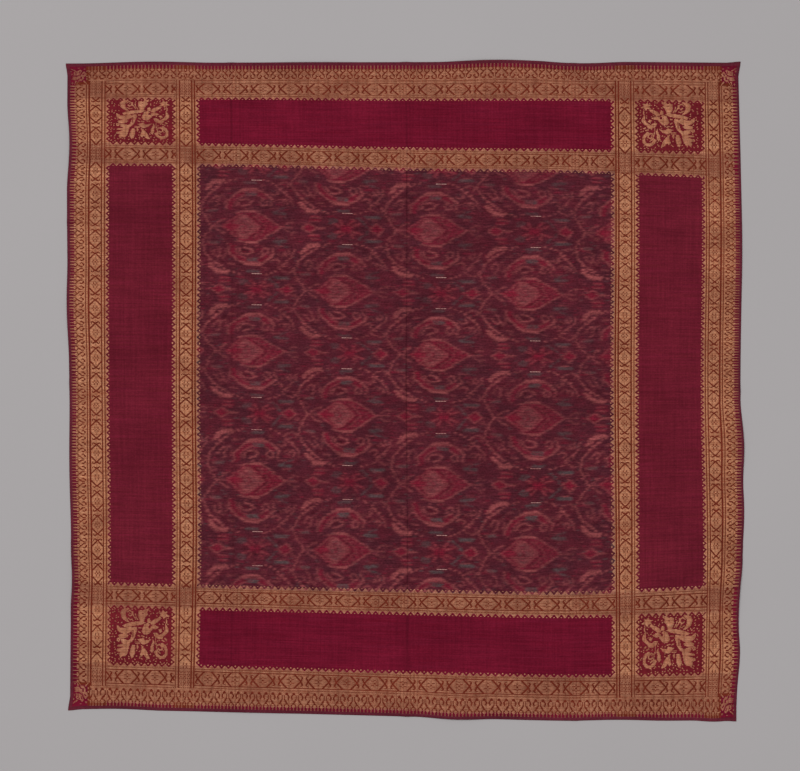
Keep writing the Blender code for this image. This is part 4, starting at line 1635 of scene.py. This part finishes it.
@dataclass
class DyedField:
    """The weft-dyed middle of the cloth: a thin closed layer that carries the dyed repeat."""

    laying: Laying
    repeat: DyedRepeat
    step_u: float = 1.55
    step_v: float = 1.3
    rise: float = 0.12
    skirt: float = 0.3
    seed: int = 11

    # its left side, the fold between its halves and its right side, then its lower and upper end
    SIDES = (-274.0, 1.5, 274.0)
    ENDS = (-264.4, 292.4)
    # flat places of the repeat's upright axes and of its levels, each with its number
    AXES = ((-316.0, -1), (-194.0, 0), (-75.5, 1), (47.5, 2), (171.5, 3), (296.4, 4))
    # flat places along the warp, and how far the tied wefts slipped there, in repeat units
    SWAY = ((-187.0, -85.0, 17.0, 119.0, 222.0), (3.0, -4.5, -2.0, 0.5, 2.3))
    LEVELS = ((-300.0, 7), (-211.0, 6), (-121.5, 5), (-33.0, 4), (47.5, 3), (128.7, 2), (210.5, 1),
              (292.0, 0), (373.0, -1))
    # a weft row's slip of its own and with its neighbours, in repeat units, and its uptake of dye
    ROW_SLIP, SLOW_SLIP = 0.75, 0.6
    ROW_UPTAKE = (0.8, 1.14)
    # teal took deeper lower down: from where, over what length, from what share and by how much
    TEAL_FROM, TEAL_OVER, TEAL_SHARE, TEAL_GAIN = 60.0, 320.0, 0.85, 0.5
    # the bare dashes: units above and below a palmette, and where along the warp they stay
    BARE_REACH = 46.5
    BARE_ROOM = (-258.0, 286.0)

    def repeat_place(self, u: Array, v: Array) -> tuple[Array, Array]:
        """Where flat points fall in the repeat: even between its axes and its levels.

        Args:
            u: places along the weft.
            v: places along the warp.

        Returns:
            The places along and across, in the repeat's units.
        """
        axes, numbers = zip(*self.AXES)
        levels, counts = zip(*self.LEVELS)
        x = np.interp(u, axes, numbers) * self.repeat.half_width
        y = -np.interp(v, levels, counts) * self.repeat.half_height
        return x, y

    def half(self, name: str, start: float, end: float, tile: Array, rows_shift: Array,
             rows_taken: Array, v_stops: Array, material: bpy.types.Material) -> bpy.types.Object:
        """Make one half of the layer.

        Args:
            name: the piece's name.
            start: the half's left side, a flat place.
            end: its right side.
            tile: the dyed repeat.
            rows_shift: how far each weft row has slipped sideways, in repeat units.
            rows_taken: how well each weft row took its dyes.
            v_stops: the flat places of the rows.
            material: the tied silk.

        Returns:
            The piece.
        """
        u_stops = np.linspace(start, end, int(round((end - start) / self.step_u)) + 1)
        u, v = (grid.ravel() for grid in np.meshgrid(u_stops, v_stops))
        shift = np.repeat(rows_shift, u_stops.size)
        x, y = self.repeat_place(u, v)
        dyes = self.repeat.sample(x + shift, y, tile)
        deeper = np.clip((self.TEAL_FROM - v) / self.TEAL_OVER, 0.0, 1.0)
        dyes[:, Dye.TEAL.value] *= self.TEAL_SHARE + self.TEAL_GAIN * deeper
        # no two repeats took the dye alike: slow waves over the cloth, and each row a little apart
        taken = 0.94 + 0.12 * np.sin(u / 31.0 + 1.3) * np.sin(v / 23.0 + 0.4)
        taken += 0.1 * np.sin(u / 67.0 - v / 41.0 + 2.1)
        dyes = np.clip(dyes * (taken * np.repeat(rows_taken, u_stops.size))[:, None], 0.0, 1.0)
        rows, columns = v_stops.size, u_stops.size
        rim = grid_rim(rows, columns)
        after = np.roll(rim, -1)
        count = rows * columns
        top = self.laying.points(u, v, self.rise)
        skirt = top[rim] * (1.0, 1.0, 0.0) + (0.0, 0.0, self.skirt * MM)
        middle = np.array([[top[:, 0].mean(), top[:, 1].mean(), self.skirt * MM]])
        below = np.arange(rim.size) + count
        wall = np.stack([below, np.roll(below, -1), after, rim], axis=1)
        hub = np.full(rim.size, count + rim.size)
        floor = np.stack([np.roll(below, -1), below, hub], axis=1)
        points = np.concatenate([top, skirt, middle])
        source = np.concatenate([np.arange(count), rim, [count // 2]])
        # the dyes, and the painted shade along the fold creases
        attributes = {"dyes": dyes[source], "crease_shade": self.laying.crease_shade(u, v)[source]}
        flat = np.stack([u, v], axis=1)[source]
        faces = [(grid_faces(rows, columns), True), (wall, False), (floor, False)]
        return make_piece(name, points, faces, flat, attributes, material, boxed(points))

    def build(self, finish: TiedSilk) -> list[bpy.types.Object]:
        """Make both halves, with every weft row slipped a little sideways, as tied wefts are.

        Args:
            finish: the tied silk.

        Returns:
            The left and the right half.
        """
        low, high = self.ENDS
        v_stops = np.linspace(low, high, int((high - low) / self.step_v) + 1)
        chance = np.random.default_rng(self.seed)
        rough = chance.normal(0.0, 1.0, v_stops.size)
        slow = np.convolve(chance.normal(0.0, 1.0, v_stops.size + 8), np.ones(9) / 3.0, "valid")
        shift = self.ROW_SLIP * rough + self.SLOW_SLIP * slow + np.interp(v_stops, *self.SWAY)
        taken = chance.uniform(*self.ROW_UPTAKE, v_stops.size)
        tile = self.repeat.tile()
        material = finish.material()
        names = ("dyed_field_left", "dyed_field_right")
        return [self.half(name, start, end, tile, shift, taken, v_stops, material)
                for name, start, end in zip(names, self.SIDES, self.SIDES[1:])]

    def bare_marks(self) -> list[tuple[float, float]]:
        """Flat places of the bare weft dashes: one above and one below each palmette.

        Returns:
            The middle of each dash.
        """
        marks = []
        levels, counts = zip(*self.LEVELS)
        reach = self.BARE_REACH / self.repeat.half_height
        low, high = self.BARE_ROOM
        for u, number in self.AXES[1:5]:
            for count in counts:
                if (number + count) % 2:
                    places = np.interp((count - reach, count + reach), counts[::-1], levels[::-1])
                    marks += [(u - 1.0, float(place)) for place in places if low < place < high]
        return marks


@dataclass
class Threads:
    """Threads that float over the cloth, each a low closed ridge along the weft."""

    laying: Laying
    loom: Loom
    crown: float = 0.3
    sunk: float = 0.06
    end_slope: float = 0.18
    longest: int = 14
    longest_on_fold: int = 5
    gap: float = 0.05

    def runs(self, gold: Array) -> tuple[Array, Array, Array]:
        """The floats of a chart: row, first column and end column of each.

        A float starts where a gold cell follows a bare one, and long ones are cut every few
        columns, closer on the folds, so that they follow the cloth.

        Args:
            gold: the chart, True where gold lies.

        Returns:
            Three arrays with one number for each float.
        """
        columns = np.arange(gold.shape[1])
        near_fold = np.zeros(columns.size, dtype=bool)
        for fold in FOLDS:
            if fold.upright:
                near_fold |= np.abs(self.loom.u(columns) - fold.place) < fold.half_width + 4.0
        cut = np.where(near_fold, columns % self.longest_on_fold, columns % self.longest) == 0
        before = np.zeros_like(gold)
        before[:, 1:] = gold[:, :-1]
        after = np.zeros_like(gold)
        after[:, :-1] = gold[:, 1:]
        starts = gold & (~before | cut[None, :])
        ends = gold & (~after | np.append(cut[1:], True)[None, :])
        row, first = np.nonzero(starts)
        last = np.nonzero(ends)[1]
        return row, first, last + 1

    def ridges(self, name: str, u0: Array, u1: Array, v0: Array, v1: Array,
               material: bpy.types.Material) -> bpy.types.Object:
        """Make a ridge for each float: two long slopes, two short ends and a base.

        Args:
            name: the piece's name.
            u0: where each float starts along the weft.
            u1: where it ends.
            v0: its lower side along the warp.
            v1: its upper side.
            material: the thread's material.

        Returns:
            The piece with all the floats in one mesh.
        """
        middle = (v0 + v1) / 2.0
        slope = np.minimum(self.end_slope, (u1 - u0) * 0.3)
        u = np.stack([u0, u0, u1, u1, u0 + slope, u1 - slope], axis=1).ravel()
        v = np.stack([v0, v1, v1, v0, middle, middle], axis=1).ravel()
        above = np.tile([-self.sunk] * 4 + [self.crown] * 2, u0.size)
        points = self.laying.points(u, v, above)
        first = np.arange(u0.size)[:, None] * 6
        quads = np.concatenate([first + [0, 1, 2, 3], first + [0, 3, 5, 4], first + [2, 1, 4, 5]])
        ends = np.concatenate([first + [1, 0, 4], first + [3, 2, 5]])
        flat = np.stack([u, v], axis=1)
        attributes = {"level": self.loom.level_share(v), "red": self.loom.red_share(u, v)}
        return make_piece(name, points, [(quads, True), (ends, True)], flat, attributes, material,
                          boxed(points))

    def weave(self, name: str, gold: Array, material: bpy.types.Material) -> bpy.types.Object:
        """Make the floats of a chart, each filling its row but for a gap at both sides."""
        row, first, end = self.runs(gold)
        return self.ridges(name, self.loom.u(first), self.loom.u(end), self.loom.v(row + self.gap),
                           self.loom.v(row + (1.0 - self.gap)), material)


@dataclass
class GoldBorders:
    """Every gold piece of the cloth, cut into parts that stay light enough to handle."""

    threads: Threads
    chart: Brocade

    def part(self, rows: tuple[int, int], columns: tuple[int, int]) -> Array:
        """The chart with everything outside a rectangle left bare."""
        kept = np.zeros_like(self.chart.gold)
        kept[rows[0]:rows[1], columns[0]:columns[1]] = True
        return self.chart.gold & kept

    def build(self, finish: GoldThread) -> list[bpy.types.Object]:
        """Weave the borders, the inner frame and the corner sprays.

        Args:
            finish: the gold thread.

        Returns:
            The six pieces.
        """
        material = finish.material()
        height, width = self.chart.gold.shape
        bottom, top = 59, 992
        left, right = 61, width - 61
        inner = self.part((139, 916), (149, width - 149))
        parts = {
            "bottom_border_gold": self.part((0, bottom), (0, width)),
            "top_border_gold": self.part((top, height), (0, width)),
            "left_border_gold": self.part((bottom, top), (0, left)),
            "right_border_gold": self.part((bottom, top), (right, width)),
            "inner_frame_gold": inner | self.part((bottom, top), (left, right)) & ~inner,
            "corner_spray_gold": self.chart.sprays & ~self.chart.gold,
        }
        return [self.threads.weave(name, gold, material) for name, gold in parts.items()]


@dataclass
class BareWefts:
    """The short pale dashes of undyed weft in the dyed middle."""

    threads: Threads
    length: float = 14.0
    height: float = 1.3
    pieces_each: int = 4

    def build(self, marks: list[tuple[float, float]], finish: BareSilk) -> bpy.types.Object:
        """Make each dash of a few floats end to end, so that it follows the cloth.

        Args:
            marks: the middle of each dash.
            finish: the undyed silk.

        Returns:
            The piece with all the dashes.
        """
        steps = np.linspace(-0.5, 0.5, self.pieces_each + 1) * self.length
        u = np.concatenate([mark[0] + steps for mark in marks]).reshape(-1, self.pieces_each + 1)
        v = np.repeat([mark[1] for mark in marks], self.pieces_each)
        return self.threads.ridges("bare_weft_marks", u[:, :-1].ravel(), u[:, 1:].ravel(),
                                   v - self.height / 2.0, v + self.height / 2.0, finish.material())


@dataclass
class Studio:
    """Floor, soft light and camera. Lengths are in metres."""

    view_width: float = 1.0492
    lens: float = 85.0
    sensor: float = 36.0
    aim: tuple[float, float] = (-0.0066, 0.0072)
    floor_half: float = 2.5
    floor_thickness: float = 0.02
    key_place: tuple[float, float, float] = (-1.7, 1.5, 5.1)
    key_size: float = 2.6
    key_power: float = 143.0
    fill_place: tuple[float, float, float] = (2.0, -1.6, 5.2)
    fill_size: float = 3.2
    fill_power: float = 82.0
    lamp: str = "#fffffe"
    room: str = "#f0f0f1"
    ambient: float = 0.34

    def build(self) -> None:
        """Make the floor, the lights and the camera, which looks straight down."""
        self.lay_floor()
        self.hang_light("key_light", self.key_place, self.key_size, self.key_power)
        self.hang_light("fill_light", self.fill_place, self.fill_size, self.fill_power)
        world = bpy.data.worlds.new("soft_room")
        world.use_nodes = True
        background = world.node_tree.nodes["Background"]
        background.inputs["Color"].default_value = linear(self.room)
        background.inputs["Strength"].default_value = self.ambient
        scene = bpy.context.scene
        scene.world = world
        scene.view_settings.view_transform = "Standard"
        camera = bpy.data.cameras.new("camera")
        camera.lens = self.lens
        camera.sensor_fit = "HORIZONTAL"
        camera.sensor_width = self.sensor
        camera.clip_end = 20.0
        holder = bpy.data.objects.new("camera", camera)
        holder.location = (*self.aim, self.view_width * self.lens / self.sensor)
        scene.collection.objects.link(holder)
        scene.camera = holder

    def lay_floor(self) -> None:
        """Make the floor, a thin closed board whose upper side is at height 0."""
        half = self.floor_half
        corners = np.array([(-half, -half), (half, -half), (half, half), (-half, half)])
        levels = (0.0, -self.floor_thickness)
        points = np.concatenate([np.column_stack([corners, np.full(4, z)]) for z in levels])
        faces = [(0, 1, 2, 3), (7, 6, 5, 4), (4, 5, 1, 0), (5, 6, 2, 1), (6, 7, 3, 2), (7, 4, 0, 3)]
        mesh = bpy.data.meshes.new("floor")
        mesh.from_pydata(points.tolist(), [], faces)
        mesh.materials.append(PaleBoard().material())
        floor = bpy.data.objects.new("floor", mesh)
        bpy.context.scene.collection.objects.link(floor)

    def hang_light(self, name: str, place: tuple[float, float, float], size: float, power: float) -> None:
        """Hang a square area light that faces the cloth's middle.

        Args:
            name: its name.
            place: where it hangs.
            size: its side.
            power: its power in watts.
        """
        light = bpy.data.lights.new(name, "AREA")
        light.size = size
        light.energy = power
        light.color = linear(self.lamp)[:3]
        holder = bpy.data.objects.new(name, light)
        holder.location = place
        aim = -np.array(place)
        holder.rotation_euler = (
            float(np.arctan2(np.hypot(aim[0], aim[1]), -aim[2])), 0.0,
            float(np.arctan2(-aim[0], aim[1])),
        )
        bpy.context.scene.collection.objects.link(holder)


def main() -> None:
    """Build the cloth, its dyed middle and its gold, then the studio, and report each piece."""
    logging.basicConfig(level=logging.INFO, format="%(name)s %(message)s")
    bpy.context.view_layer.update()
    laying = Laying()
    loom = Loom()
    cloth = GroundCloth(laying, loom).build(PlainSilk())
    field = DyedField(laying, DyedRepeat())
    halves = field.build(TiedSilk())
    gold = GoldBorders(Threads(laying, loom), Brocade(loom)).build(GoldThread())
    bare = BareWefts(Threads(laying, loom, crown=0.4)).build(field.bare_marks(), BareSilk())
    Studio().build()


if __name__ == "__main__":
    main()
